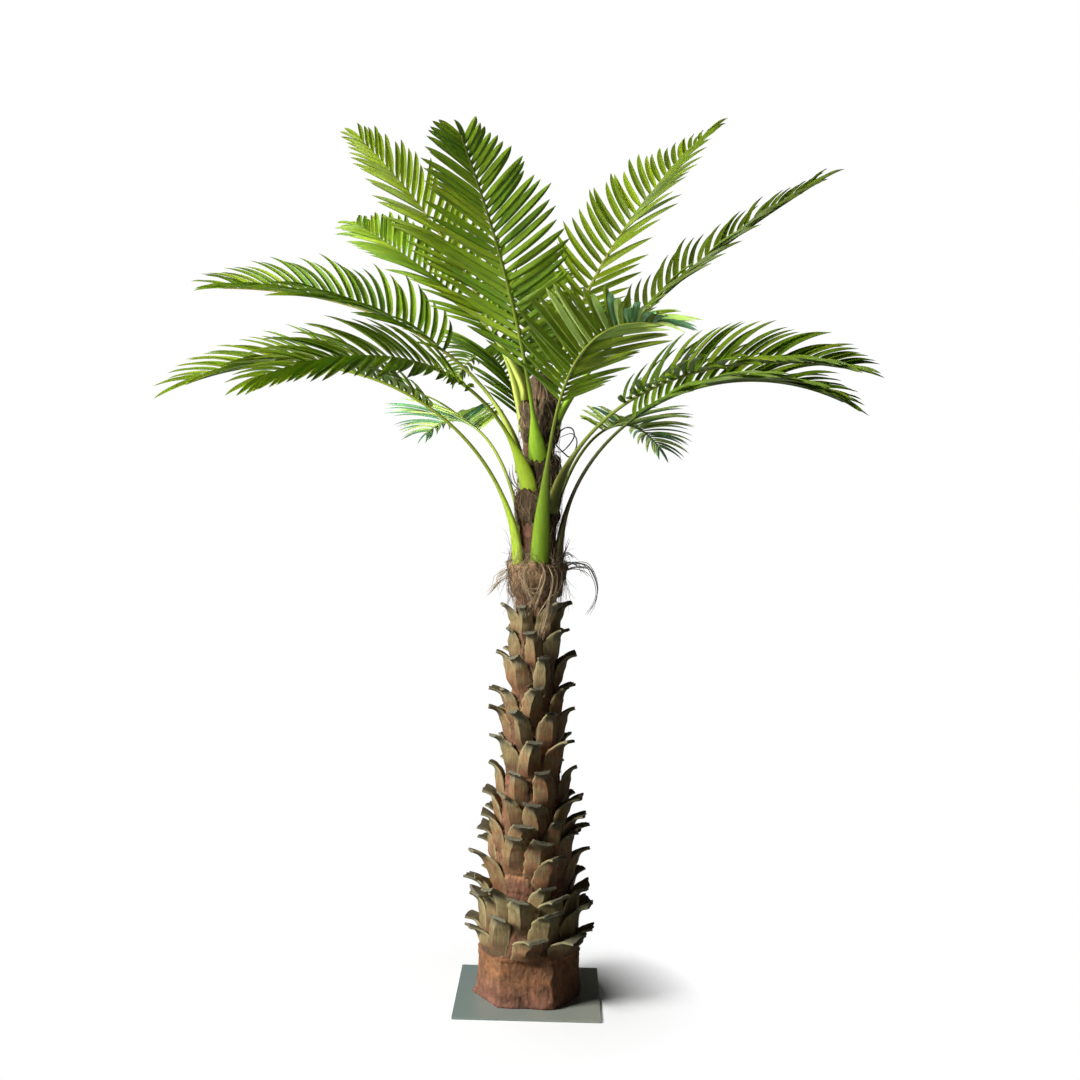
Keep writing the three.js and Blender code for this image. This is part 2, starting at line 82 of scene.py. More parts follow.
def skin(name, rings, hoop=False):
    """A mesh of closed tubes. rings is an array of tubes, rings, sides and x, y, z. Each ring is joined to
    the next by four-cornered faces, and flat faces close both ends, or the last ring meets the first."""
    tubes, count, sides = rings.shape[:3]
    places = np.arange(tubes * count * sides).reshape(tubes, count, sides)
    here = places if hoop else places[:, :-1]
    ahead = np.roll(places, -1, axis=1) if hoop else places[:, 1:]
    walls = np.stack([here, np.roll(here, -1, axis=2), np.roll(ahead, -1, axis=2), ahead], axis=-1)
    ends = places[:0, 0] if hoop else np.concatenate([places[:, 0, ::-1], places[:, -1]])
    starts = np.concatenate([np.arange(walls.size // 4) * 4, walls.size + np.arange(len(ends)) * sides])
    corners = np.concatenate([walls.ravel(), ends.ravel()])
    mesh = bpy.data.meshes.new(name)
    mesh.vertices.add(places.size)
    mesh.vertices.foreach_set("co", rings.astype(np.float32).ravel())
    mesh.loops.add(corners.size)
    mesh.loops.foreach_set("vertex_index", corners.astype(np.int32))
    mesh.polygons.add(starts.size)
    mesh.polygons.foreach_set("loop_start", starts.astype(np.int32))
    mesh.update(calc_edges=True)
    mesh.polygons.foreach_set("use_smooth", np.ones(starts.size, bool))
    piece = bpy.data.objects.new(name, mesh)
    bpy.context.scene.collection.objects.link(piece)
    return piece


def fill(tree, node, sockets):
    """Sets a node's inputs: an output is wired in, and anything else is set on the socket. A colour of
    three numbers is opaque."""
    for name, value in sockets.items():
        socket = node.inputs[name]
        if isinstance(value, bpy.types.NodeSocket):
            tree.links.new(value, socket)
        else:
            socket.default_value = (*value, 1) if socket.type == "RGBA" else value
    return node


def add(tree, kind, sockets, **settings):
    """A new shader node with its settings and its inputs."""
    node = tree.nodes.new("ShaderNode" + kind)
    for name, value in settings.items():
        setattr(node, name, value)
    return fill(tree, node, sockets)


def finish_of(name):
    """A new material with its node tree, its shader and the places on the piece that its patterns read."""
    material = bpy.data.materials.new(name)
    material.use_nodes = True
    tree = material.node_tree
    return material, tree, tree.nodes["Principled BSDF"], add(tree, "TexCoord", {}).outputs["Object"]


def blend_colours(tree, share, first, second):
    """The first colour where the share is 0, turning to the second where it is 1."""
    return add(tree, "Mix", {0: share, 6: first, 7: second}, data_type="RGBA").outputs[2]


def ranged(tree, value, given=(0, 1), to=(0, 1)):
    """A value carried in a straight line from the given range to another, and held at its ends."""
    return add(tree, "MapRange", {"Value": value, "From Min": given[0], "From Max": given[1],
                                  "To Min": to[0], "To Max": to[1]}).outputs["Result"]


def product(tree, first, second, **settings):
    """Two masks multiplied, or one mask brought down to a share of its strength."""
    return add(tree, "Math", {0: first, 1: second}, operation="MULTIPLY", **settings).outputs[0]


def noise(tree, place, fineness, **more):
    """Soft noise at each place."""
    return add(tree, "TexNoise", {"Vector": place, "Scale": fineness, **more}).outputs["Fac"]


def raised(tree, height, strength, depth, **more):
    """Normals that follow a height, which is as deep as the depth where the height is 1."""
    return add(tree, "Bump", {"Height": height, "Strength": strength, "Distance": depth,
                              **more}).outputs["Normal"]


def new_group(name, numbers, results):
    """A node group that takes a place and some numbers, with what it is given and its end."""
    group = bpy.data.node_groups.new(name, "ShaderNodeTree")
    sockets = [("Place", "INPUT", "Vector"), *[(number, "INPUT", "Float") for number in numbers],
               *[(result, "OUTPUT", "Float") for result in results]]
    for socket, way, kind in sockets:
        group.interface.new_socket(name=socket, in_out=way, socket_type="NodeSocket" + kind)
    return group, group.nodes.new("NodeGroupInput").outputs, group.nodes.new("NodeGroupOutput")


def make_streaks():
    """Fibres that run up the tree: noise on places squeezed along Z, as a mask and a height."""
    group, given, end = new_group("upright_streaks", ["Fineness", "Squeeze"], ["Mask", "Height"])
    squeeze = add(group, "CombineXYZ", {"X": 1, "Y": 1, "Z": given["Squeeze"]}).outputs[0]
    squeezed = add(group, "VectorMath", {0: given["Place"], 1: squeeze}, operation="MULTIPLY").outputs[0]
    strands = noise(group, squeezed, given["Fineness"], Detail=6, Roughness=0.62, Distortion=0.35)
    fill(group, end, {"Mask": ranged(group, strands, (0.38, 0.66)), "Height": strands})
    return group


def make_patches():
    """Soft blots: noise raised by the cover and sharpened into a mask."""
    group, given, end = new_group("weather_patches", ["Fineness", "Cover"], ["Mask"])
    broad = noise(group, given["Place"], given["Fineness"], Detail=8, Roughness=0.68, Distortion=0.6)
    lifted = add(group, "Math", {0: broad, 1: given["Cover"]}, operation="ADD").outputs[0]
    fill(group, end, {"Mask": ranged(group, lifted, (0.92, 1.12))})
    return group


streaks, patches = make_streaks(), make_patches()


def streaked(tree, place, fineness, squeeze):
    """The mask and the height of upright streaks."""
    group = add(tree, "Group", {"Place": place, "Fineness": fineness, "Squeeze": squeeze}, node_tree=streaks)
    return group.outputs["Mask"], group.outputs["Height"]


def blotted(tree, place, fineness, cover):
    """The mask of soft blots."""
    group = add(tree, "Group", {"Place": place, "Fineness": fineness, "Cover": cover}, node_tree=patches)
    return group.outputs["Mask"]


def stained(tree, body, place, colour, fineness, cover, share):
    """A body's colour with another laid over it in soft blots."""
    return blend_colours(tree, product(tree, blotted(tree, place, fineness, cover), share), body, colour)


def rounded_square(half, corner):
    """Places round a square: a quarter circle of the corner's radius at each corner, joined by straight
    sides."""
    middles = (np.arange(4)[:, None] + 0.5) * np.pi / 2
    bends = middles + np.linspace(-np.pi / 4, np.pi / 4, PLATE_CORNER_POINTS)
    centres = (half - corner) * np.sqrt(2) * np.stack([np.cos(middles), np.sin(middles)], axis=-1)
    return (centres + corner * np.stack([np.cos(bends), np.sin(bends)], axis=-1)).reshape(-1, 2)


plate_low, plate_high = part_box("base_plate")
plate_profile = [(PLATE_EASE, plate_low.z), (0, plate_low.z + PLATE_EASE),
                 (0, plate_high.z - PLATE_EASE), (PLATE_EASE, plate_high.z)]
plate_rings = [np.insert(rounded_square(plate_high.x - inset, PLATE_CORNER - inset), 2, height, axis=1)
               for inset, height in plate_profile]
plate = skin("plate", np.array([plate_rings]))
plate.data.shade_flat()

paint, tree, shader, place = finish_of("dull_grey_paint")
# Painted reflection and light: the grey turns from left to right across the plate.
side = add(tree, "SeparateXYZ", {"Vector": place}).outputs["X"]
reflection_and_light_sweep = blend_colours(tree, ranged(tree, side, (plate_low.x, plate_high.x)), PLATE_LEFT_REFLECTION, PLATE_RIGHT_REFLECTION_AND_LIGHT)
scuffs = noise(tree, place, 140, Detail=5)
fill(tree, shader, {"Base Color": stained(tree, reflection_and_light_sweep, place, *PLATE_WEAR), "Metallic": 0.25,
                    "Roughness": ranged(tree, scuffs, to=(0.24, 0.44)),
                    "Normal": raised(tree, scuffs, 0.12, 0.0006)})
plate.data.materials.append(paint)
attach(plate, "root")
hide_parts("base_plate")


# Trunk: a tapered shell of rough terracotta bark over the core, cut flat just above the plate.
# Its foot is a six-sided drum that spreads at the floor, and old layers of fibre wrap it above.
TRUNK_LEVELS = [
    # height, radius
    (0, 0.172), (0.024, 0.163), (0.06, 0.159), (0.16, 0.157), (0.205, 0.144), (0.33, 0.122), (0.455, 0.115),
    (0.51, 0.102), (0.66, 0.093), (0.74, 0.082), (0.93, 0.071), (1.12, 0.064), (1.185, 0.054), (1.24, 0.068),
    (1.36, 0.06), (1.56, 0.056), (1.85, 0.044), (1.93, 0.038), (1.95, 0.024),
]
TRUNK_FOOT = 0.0063
TRUNK_TOP = 1.95
BARK_TURNS = 236
BARK_RINGS = 400
FULL_TURN = 2 * np.pi
DRUM_TOP = 0.155
DRUM_EASE = np.array([-0.002, 0.012])
DRUM_SIDES = 6
DRUM_EDGE = np.radians(299)
DRUM_FLATNESS = 0.017
DRUM_WANDER = 0.05
LEDGE = 0.0045
LEDGE_WIDTH = 0.005
FLARE_LUMPS = 0.009
FLARE_FADE = (0.02, 0.06)
BARK_LUMPS = 0.0035
LUMPS_FADE, LUMPS_LOSS = (1.2, 1.5), 0.6
BARK_CREASES, CREASES_LOSS = 0.0022, 0.8
BARK_GRIT = 0.0014
WRAP_STEP = 0.052
WRAP_EDGE = 0.0045
WRAP_WANDER = 0.45
WRAPS_FADE, WRAPS_LOSS = (1.9, 1.94), 0.75
CAP_SHARE, CAP_RISE = 0.4, 0.004
# A net of random values is its cells round the trunk, the height of a cell and a seed.
DRUM_NET, FLARE_NET, LUMP_NET = (12, 0.03, 1), (11, 0.03, 2), (16, 0.045, 3)
CREASE_NET, GRIT_NET, WRAP_NET = (70, 0.06, 4), (150, 0.011, 5), (9, 0.09, 6)
# From the drum's ledge up to the bare orange band the bark is much darker. This is painted shade under the
# lowest rows of stubs.
BARK_BANDS = [
    # height, colour
    (0, (0.3, 0.115, 0.085)), (0.04, (0.36, 0.15, 0.086)), (0.1, (0.44, 0.19, 0.072)),
    (0.155, (0.43, 0.185, 0.07)), (0.17, (0.2, 0.082, 0.045)), (0.385, (0.25, 0.105, 0.058)),
    (0.4, (0.68, 0.33, 0.15)), (0.465, (0.66, 0.315, 0.14)), (0.49, (0.34, 0.138, 0.072)),
    (0.8, (0.33, 0.14, 0.076)), (1.1, (0.26, 0.135, 0.07)), (1.26, (0.26, 0.14, 0.072)),
    (1.4, (0.3, 0.125, 0.075)), (1.62, (0.23, 0.1, 0.055)), (1.8, (0.12, 0.086, 0.04)),
    (1.95, (0.09, 0.072, 0.032)),
]
BARK_BROWN = (0.1, 0.05, 0.03)
BARK_SHADE = (0.04, 0.022, 0.014)
BARK_STAINS = [((0.38, 0.14, 0.1), 17, 0.38, 0.3), (BARK_BROWN, 9, 0.4, 0.45), (BARK_BROWN, 30, 0.55, 0.72),
               ((0.36, 0.26, 0.14), 75, 0.42, 0.4)]


def bark_radius(height):
    """The plain radius at each height: straight lines between the trunk's levels."""
    return np.interp(height, *np.transpose(TRUNK_LEVELS))


def unevenness(turn, height, around, step, seed):
    """Soft lumps between -1 and 1: random values on a net of turns and heights, blended by a cosine."""
    net = np.random.default_rng(seed).uniform(-1, 1, (int(TRUNK_TOP / step) + 4, around))
    column, row = turn / FULL_TURN * around, height / step + 1
    left, below = np.floor(column).astype(int), np.floor(row).astype(int)
    across, up = 0.5 - 0.5 * np.cos(np.pi * (column - left)), 0.5 - 0.5 * np.cos(np.pi * (row - below))
    lower = net[below, left % around] * (1 - across) + net[below, (left + 1) % around] * across
    upper = net[below + 1, left % around] * (1 - across) + net[below + 1, (left + 1) % around] * across
    return lower * (1 - up) + upper * up


def fade(value, start, end):
    """0 before the start, 1 past the end and a smooth step between them."""
    share = np.clip((value - start) / (end - start), 0, 1)
    return share * share * (3 - 2 * share)


def drum_share(height):
    """1 on the drum at the trunk's foot and 0 above its ledge."""
    return 1 - fade(height, *(DRUM_TOP + DRUM_EASE))


def drum_flats(turn, height):
    """How far the drum's flat sides sink between its edges: a parabola over each side."""
    wander = DRUM_WANDER * unevenness(turn, height, *DRUM_NET)
    part = ((turn - DRUM_EDGE) / FULL_TURN * DRUM_SIDES + wander) % 1
    return -DRUM_FLATNESS * 4 * part * (1 - part) * drum_share(height)


def bark_relief(turn, height):
    """What the bark stands off its plain taper: the drum's ledge, lumps, creases, grit and fibre layers,
    which step back at each layer's upper edge."""
    drum = drum_share(height)
    ledge = LEDGE * np.exp(-((height - DRUM_TOP + LEDGE_WIDTH) / LEDGE_WIDTH) ** 2)
    spread = FLARE_LUMPS * unevenness(turn, height, *FLARE_NET) * (1 - fade(height, *FLARE_FADE))
    lumps = BARK_LUMPS * unevenness(turn, height, *LUMP_NET) * (1 - LUMPS_LOSS * fade(height, *LUMPS_FADE))
    creases = BARK_CREASES * unevenness(turn, height, *CREASE_NET) * (1 - CREASES_LOSS * drum)
    grit = BARK_GRIT * unevenness(turn, height, *GRIT_NET)
    layer = height / WRAP_STEP + WRAP_WANDER * unevenness(turn, height, *WRAP_NET)
    wraps = -WRAP_EDGE * (layer % 1) * (1 - drum) * (1 - WRAPS_LOSS * fade(height, *WRAPS_FADE))
    return ledge + spread + lumps + creases + grit + wraps


def round_trunk(turn, height, radius):
    """Places at a turn, a height and a radius from the trunk's middle line."""
    return np.stack([radius * np.cos(turn), radius * np.sin(turn), height], axis=-1)


def even_turns(count):
    """So many turns, spread evenly all the way round."""
    return np.arange(count) / count * FULL_TURN


bark_height, bark_turn = np.meshgrid(np.linspace(TRUNK_FOOT, TRUNK_TOP, BARK_RINGS),
                                     even_turns(BARK_TURNS), indexing="ij")
bark_stand = bark_relief(bark_turn, bark_height)
bark_reach = bark_radius(bark_height) + drum_flats(bark_turn, bark_height) + bark_stand
bark_rings = round_trunk(bark_turn, bark_height, bark_reach)
bark_cap = bark_rings[-1:] * [CAP_SHARE, CAP_SHARE, 1] + [0, 0, CAP_RISE]
bark = skin("bark", np.concatenate([bark_rings, bark_cap])[None])


def mark(piece, name, values):
    """Stores a number for each point of a piece, which its material reads by name."""
    layer = piece.data.attributes.new(name, "FLOAT", "POINT")
    layer.data.foreach_set("value", np.ascontiguousarray(values, np.float32).ravel())


def stored(tree, name):
    """The numbers that a piece stores under a name."""
    return add(tree, "Attribute", {}, attribute_name=name).outputs["Fac"]


def height_of(tree, place):
    """How high each place is."""
    return add(tree, "SeparateXYZ", {"Vector": place}).outputs["Z"]


def lined(tree, body, mask, colour, share):
    """A body's colour with another in the gaps between streaks, at a share of its strength."""
    return blend_colours(tree, ranged(tree, mask, to=(share, 0)), body, colour)


def ramp(tree, place, stops):
    """A colour band through stops of a place and a colour."""
    node = add(tree, "ValToRGB", {"Fac": place})
    band = node.color_ramp.elements
    band[0].position, band[0].color = stops[0][0], (*stops[0][1], 1)
    band[1].position, band[1].color = stops[-1][0], (*stops[-1][1], 1)
    for stop, colour in stops[1:-1]:
        band.new(stop).color = (*colour, 1)
    return node.outputs["Color"]


# How far the bark stands out, brought to about 0 to 1.
mark(bark, "stand", np.concatenate([bark_stand, bark_stand[-1:]]) / (2 * (BARK_LUMPS + WRAP_EDGE)) + 0.75)

rind, tree, shader, place = finish_of("rough_bark")
climb = add(tree, "Math", {0: height_of(tree, place), 1: TRUNK_TOP}, operation="DIVIDE").outputs[0]
body = ramp(tree, climb, [(level / TRUNK_TOP, colour) for level, colour in BARK_BANDS])
for stain in BARK_STAINS:
    body = stained(tree, body, place, *stain)
mask, fibres = streaked(tree, place, 110, 0.45)
body = lined(tree, body, mask, BARK_BROWN, 0.3)
sunk = ranged(tree, stored(tree, "stand"), (0.05, 0.55), (0.85, 0))
coarse = raised(tree, fibres, 0.8, 0.004)
grain = noise(tree, place, 420, Detail=4)
fill(tree, shader, {"Base Color": blend_colours(tree, sunk, body, BARK_SHADE), "Roughness": 0.86,
                    "Specular IOR Level": 0.25, "Normal": raised(tree, grain, 0.5, 0.0012, Normal=coarse)})
bark.data.materials.append(rind)
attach(bark, "root")
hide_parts("trunk")


# Leaf stubs: the cut feet of old leaves, thin leathery plates left on the bark in staggered rows.
# Each hugs the trunk from a broad root, narrows as it curls outwards and ends in a ragged cut.
STUB_ROWS = [
    # height of the tips, stubs in the row, strength of the rust
    (0.228, 7, 0.5), (0.298, 7, 0.2), (0.352, 7, 0.1), (0.374, 7, 0.1), (0.47, 5, 2.2), (0.528, 7, 1.2),
    (0.58, 7, 1.3), (0.645, 7, 1.3), (0.727, 6, 1.0), (0.82, 6, 0.7), (0.9, 6, 0.6), (0.975, 6, 0.7),
    (1.078, 6, 0.5), (1.164, 6, 0.3), (1.24, 6, 0.2),
]
STUBS_IN_FULL_ROW = 7
STUB_LENGTH_LOW, STUB_LENGTH_HIGH = 0.132, 0.124
STUB_WIDTH = 0.054
STUB_REACH = 0.068
STUB_REACH_SPREAD = 0.22
STUB_LEAN = 0.26
STUB_TWIST = 0.3
STUB_TEAR, STUB_TEARS = 0.08, 9
STUB_RAGS, STUB_RAG_COUNT = 0.0035, 3
STUB_RIPPLE, STUB_RIPPLES = 0.0012, 7
STUB_CUP = 0.1
STUB_UNHUG = 0.6
STUB_BLUNT_ENDS, STUB_BLUNT_FACES = 0.7, 0.5
STUB_TIP_SPREAD = 0.011
STUB_TURN_SPREAD = np.radians(10)
STUB_RUST_SPREAD = 0.5
STUB_SIZE_SPREAD = 0.18
STUB_SIZE_LOSS = 0.36
STUB_RINGS = 20
STUB_SIDES = 20
STUB_PATH = np.array([(-0.12, 0), (0, 0.55), (0.06, 0.9), (1, 1)])
STUB_WIDTHS = ([0, 0.4, 0.6, 0.78, 1], [1.72, 1.66, 1.44, 1.02, 1.16])
STUB_THICKNESSES = ([0, 0.5, 0.85, 1], [0.01, 0.01, 0.009, 0.01])
STUB_KEEL, KEEL_START, KEEL_END = 0.018, (0, 0.25), (0.55, 0.95)
STUB_CUT = 0.0008
STUB_EDGE = np.radians(24)
# The dark first stops at each stub's root, which the stub above overlaps, are painted shade.
STUB_BANDS_WITH_ROOT_SHADE = [
    # share of the stub's length, colour
    (0, (0.06, 0.034, 0.02)), (0.16, (0.18, 0.105, 0.052)), (0.34, (0.38, 0.295, 0.135)),
    (0.6, (0.45, 0.385, 0.175)), (0.73, (0.24, 0.25, 0.145)), (1, (0.085, 0.1, 0.072)),
]
STUB_TAN = (0.29, 0.205, 0.092)
STUB_RUST = (0.39, 0.15, 0.066)
# A pale line laid along each stub's side edges: a painted edge highlight.
STUB_RIM_HIGHLIGHT = (0.44, 0.4, 0.2)
STUB_LINE = (0.095, 0.06, 0.03)
STUB_STAINS = [(STUB_LINE, 55, 0.46, 0.3), (STUB_LINE, 16, 0.5, 0.32)]
CUT_PALE = (0.23, 0.21, 0.13)
CUT_DARK = (0.085, 0.075, 0.048)


def wobble(number):
    """A repeatable value between -1 and 1 for each number: the fraction of a large sine, doubled, less
    one."""
    wave = np.sin(number * 12.9898 + 4.1414) * 43758.5453
    return 2 * (wave - np.floor(wave)) - 1


def bezier(points, share):
    """A smooth curve pulled by four points, at shares of its run."""
    rest = 1 - share
    weights = np.stack([rest ** 3, 3 * share * rest ** 2, 3 * share ** 2 * rest, share ** 3])
    return np.tensordot(weights, points, axes=(0, 0))


def unit(vectors):
    """Vectors brought to a length of one."""
    return vectors / np.linalg.norm(vectors, axis=-1, keepdims=True)


def blunt(wave, power):
    """A wave with its size raised to a power, which draws a circle out towards a square."""
    return np.sign(wave) * np.abs(wave) ** power


def turned(first, second, angle):
    """Two directions that are square to each other, turned by an angle in their own plane."""
    return first * np.cos(angle) + second * np.sin(angle), second * np.cos(angle) - first * np.sin(angle)


# A fraction added to a stub's number, or a factor, gives each of its traits a wobble of its own.
row_tips, row_counts, row_rusts = np.transpose(STUB_ROWS)
stub_rows = np.repeat(np.arange(len(STUB_ROWS)), row_counts.astype(int))[:, None]
stub_places = np.concatenate([np.arange(count) for count in row_counts])[:, None]
stub_seeds = stub_rows * STUBS_IN_FULL_ROW + stub_places
stub_climb = stub_rows / (len(STUB_ROWS) - 1)
stub_tips = row_tips[stub_rows] + STUB_TIP_SPREAD * wobble(stub_seeds + 0.35)
stub_turns = (FULL_TURN * (stub_places + 0.5 * (stub_rows % 2)) / row_counts[stub_rows]
              + STUB_TURN_SPREAD * wobble(stub_seeds))
stub_rust = row_rusts[stub_rows] + STUB_RUST_SPREAD * wobble(stub_seeds + 0.65)
stub_sizes = (1 - STUB_SIZE_LOSS * stub_climb ** 2) * (1 + STUB_SIZE_SPREAD * wobble(stub_seeds + 0.5))
stub_wanted = STUB_LENGTH_LOW + (STUB_LENGTH_HIGH - STUB_LENGTH_LOW) * stub_climb
stub_lengths = np.minimum(stub_wanted, stub_tips - DRUM_TOP)


def stub_rings():
    """A flattened oval with a keel along its back, carried along each stub's curve. The curve runs up the
    bark and out, the oval's ends bend round the trunk, and the last ring is drawn in to give the cut a
    rim. Gives the points, how near each is to an edge and its share of the length."""
    along = np.linspace(0, 1, STUB_RINGS)[None]
    reach, rise = np.moveaxis(bezier(STUB_PATH, along), -1, 0)
    height = stub_tips - stub_lengths * (1 - rise)
    further = stub_sizes + STUB_REACH_SPREAD * wobble(stub_seeds + 0.15)
    away = reach * STUB_REACH * np.where(reach > 0, further, 1)
    turn = stub_turns + STUB_LEAN * wobble(stub_seeds + 0.25) * along ** 1.5
    centre = round_trunk(turn, height, bark_radius(height) + away)
    forwards = unit(np.gradient(centre, axis=1))
    across = np.stack([-np.sin(turn), np.cos(turn), 0 * turn], axis=-1)
    outward = unit(np.cross(across, forwards))
    twist = (STUB_TWIST * wobble(stub_seeds + 0.55) * along ** 2)[..., None]
    across, outward = turned(across, outward, twist)
    along, seeds = along[..., None], stub_seeds[..., None]
    bend = even_turns(STUB_SIDES)
    sideways = blunt(np.cos(bend), STUB_BLUNT_ENDS)
    keel = STUB_KEEL * fade(along, *KEEL_START) * (1 - fade(along, *KEEL_END)) * (1 - np.abs(sideways))
    swell = (np.interp(along, *STUB_THICKNESSES) / 2 * blunt(np.sin(bend), STUB_BLUNT_FACES)
             + np.where(np.sin(bend) > 0, keel, 0))
    tear = 1 + STUB_TEAR * wobble(seeds * 5.1 + np.round(along * STUB_TEARS) + np.sign(sideways))
    half = np.interp(along, *STUB_WIDTHS) * STUB_WIDTH / 2 * stub_sizes[..., None] * tear
    wide = (half - np.where(along == 1, STUB_CUT, 0)) * sideways
    ripple = STUB_RIPPLE * np.sin(wide / half * STUB_RIPPLES + seeds * 1.7) * along
    hug = wide ** 2 / (2 * bark_radius(height)[..., None]) * (1 - STUB_UNHUG * along ** 3) - ripple
    cup = STUB_CUP * wobble(seeds + 0.75) * wide ** 2 / half * along ** 4
    rags = STUB_RAGS * wobble(stub_seeds * 3.3 + np.round(sideways * STUB_RAG_COUNT))[:, None] * (along == 1)
    out = swell - hug - cup
    points = (centre[:, :, None] + across[:, :, None] * wide[..., None]
              + outward[:, :, None] * out[..., None] + forwards[:, :, None] * rags[..., None])
    return points, np.broadcast_to(np.abs(sideways), wide.shape), np.broadcast_to(along, wide.shape)


stub_points, stub_edge, stub_along = stub_rings()
stubs = skin("leaf_stubs", stub_points[:, :, ::-1])
stubs.data.set_sharp_from_angle(angle=STUB_EDGE)
mark(stubs, "edge", stub_edge[:, :, ::-1])
mark(stubs, "along", stub_along)
mark(stubs, "rust", np.broadcast_to(stub_rust[..., None], stub_along.shape))
mark(stubs, "tone", np.broadcast_to((wobble(stub_seeds + 0.9) / 2 + 0.5)[..., None], stub_along.shape))

leather, tree, shader, place = finish_of("stub_leather")
along = stored(tree, "along")
tanned = product(tree, stored(tree, "tone"), 0.45)
# The ramp's dark root on each stub is painted shade.
body = blend_colours(tree, tanned, ramp(tree, along, STUB_BANDS_WITH_ROOT_SHADE), STUB_TAN)
lower = product(tree, ranged(tree, along, (0.86, 0.5)), stored(tree, "rust"), use_clamp=True)
patchy = ranged(tree, blotted(tree, place, 34, 0.5), to=(0.1, 1))
body = blend_colours(tree, product(tree, lower, patchy), body, STUB_RUST)
for stain in STUB_STAINS:
    body = stained(tree, body, place, *stain)
mask, fibres = streaked(tree, place, 170, 0.14)
body = lined(tree, body, mask, STUB_LINE, 0.55)
# The pale rim along each stub's side edges is a painted edge highlight.
rim = ranged(tree, stored(tree, "edge"), (0.86, 0.99), (0, 0.4))
fill(tree, shader, {"Base Color": blend_colours(tree, rim, body, STUB_RIM_HIGHLIGHT), "Roughness": 0.72,
                    "Specular IOR Level": 0.2, "Normal": raised(tree, fibres, 0.6, 0.0025)})

cut, tree, shader, place = finish_of("stub_cut_end")
pith = noise(tree, place, 330, Detail=5, Roughness=0.7)
spots = ranged(tree, pith, (0.4, 0.62))
fill(tree, shader, {"Base Color": blend_colours(tree, spots, CUT_DARK, CUT_PALE), "Roughness": 0.9,
                    "Normal": raised(tree, pith, 0.9, 0.002)})


def paint_faces(piece, materials, tones, end_tones=None):
    """Gives a piece its materials, and each tube's faces the material of the tube's tone. All the walls come
    first, then the tubes' first ends, then their last ends, which may have tones of their own."""
    for material in materials:
        piece.data.materials.append(material)
    walls = len(piece.data.polygons) // len(tones) - 2
    ends = tones if end_tones is None else end_tones
    dealt = np.concatenate([np.repeat(tones, walls), tones, ends])
    piece.data.polygons.foreach_set("material_index", dealt.astype(np.int32))


paint_faces(stubs, [leather, cut], np.zeros(len(stub_tips), int), np.ones(len(stub_tips), int))
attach(stubs, "root")


# Fibre bands: matted palm fibre wound round the shaft, where it hides how the fronds are fixed.
# The wide collar sits on the last stubs, two wraps sit higher up, and a torn cup holds the top fronds.
FIBRE_BANDS = [
    # node, height of the foot, height of the rim, wall at the foot, wall at the rim
    ("fibre_collar", 1.262, 1.368, 0.007, 0.034),
    ("fibre_wrap_lower", 1.482, 1.592, 0.01, 0.02),
    ("fibre_wrap_upper", 1.612, 1.69, 0.009, 0.016),
    ("fibre_cup", 1.74, 1.872, 0.01, 0.022),
]
BAND_TURNS = 170
BAND_OUTER_ROWS = 26
BAND_INNER_ROWS = 5
BAND_INNER_GAP = 0.001
BAND_RIM_RAGS = 0.026
BAND_FOOT_RAGS = 0.009
BAND_LUMPS = (0.0055, 0.0022, 0.0012)
BAND_THIN_EDGE, BAND_THICKENING = 0.35, 5
BAND_SEED, BAND_SEED_STEP = 20, 10
# Nets, each with the next seed: the rim's rags and swell, the foot's rags, the three lumps and the wings.
BAND_NETS = [(38, 0.05), (15, 0.05), (31, 0.05), (13, 0.024), (58, 0.03), (96, 0.009), (7, 0.05)]
BAND_INNER_SPAN = (0.02, 0.98)
COLLAR_FLARE, FLARE_START, FLARE_LEAST = 0.012, 0.55, 0.4
COLLAR_TAN = (0.68, 0.49, 0.265)
COLLAR_BROWN = (0.33, 0.195, 0.1)
COLLAR_FOOT = (0.23, 0.105, 0.06)
WRAP_BROWN = (0.225, 0.145, 0.062)
WRAP_DARK = (0.045, 0.03, 0.019)
CUP_OLIVE = (0.23, 0.165, 0.07)


def band_outside(height, bottom, top, bottom_wall, top_wall):
    """The plain radius of a band's outer face: a straight line from its foot to its rim."""
    share = (height - bottom) / (top - bottom)
    return (bark_radius(bottom) + bottom_wall) * (1 - share) + (bark_radius(top) + top_wall) * share


def band_rings(bottom, top, bottom_wall, top_wall, seed, flare):
    """A closed profile carried round the shaft: down the lumpy outer face from a ragged rim, and up the
    bark."""
    turn = even_turns(BAND_TURNS)[:, None]

    def uneven(number, height):
        """The band's own lumps of one of its nets."""
        return unevenness(turn, height, *BAND_NETS[number], seed + number)

    rim = top + BAND_RIM_RAGS * np.abs(uneven(0, 0 * turn)) * uneven(1, 0 * turn)
    foot = bottom + BAND_FOOT_RAGS * uneven(2, 0 * turn)
    down = np.linspace(1, 0, BAND_OUTER_ROWS)
    outer_height = foot + (rim - foot) * down
    lumps = sum(size * uneven(3 + number, outer_height) for number, size in enumerate(BAND_LUMPS))
    thin = np.minimum(1, BAND_THIN_EDGE + BAND_THICKENING * np.minimum(down, 1 - down))
    winged = FLARE_LEAST + (1 - FLARE_LEAST) * np.abs(uneven(6, 0 * turn))
    wings = flare * fade(down, FLARE_START, 1) * winged
    plain = band_outside(outer_height, bottom, top, bottom_wall, top_wall) + wings
    outer = bark_radius(outer_height) + (plain - bark_radius(outer_height)) * thin + lumps
    inner_height = foot + (rim - foot) * np.linspace(*BAND_INNER_SPAN, BAND_INNER_ROWS)
    inner = bark_radius(inner_height) + BAND_INNER_GAP
    heights = np.concatenate([outer_height, inner_height], axis=1)
    radii = np.concatenate([outer, inner], axis=1)
    return round_trunk(np.broadcast_to(turn, heights.shape), heights, radii)


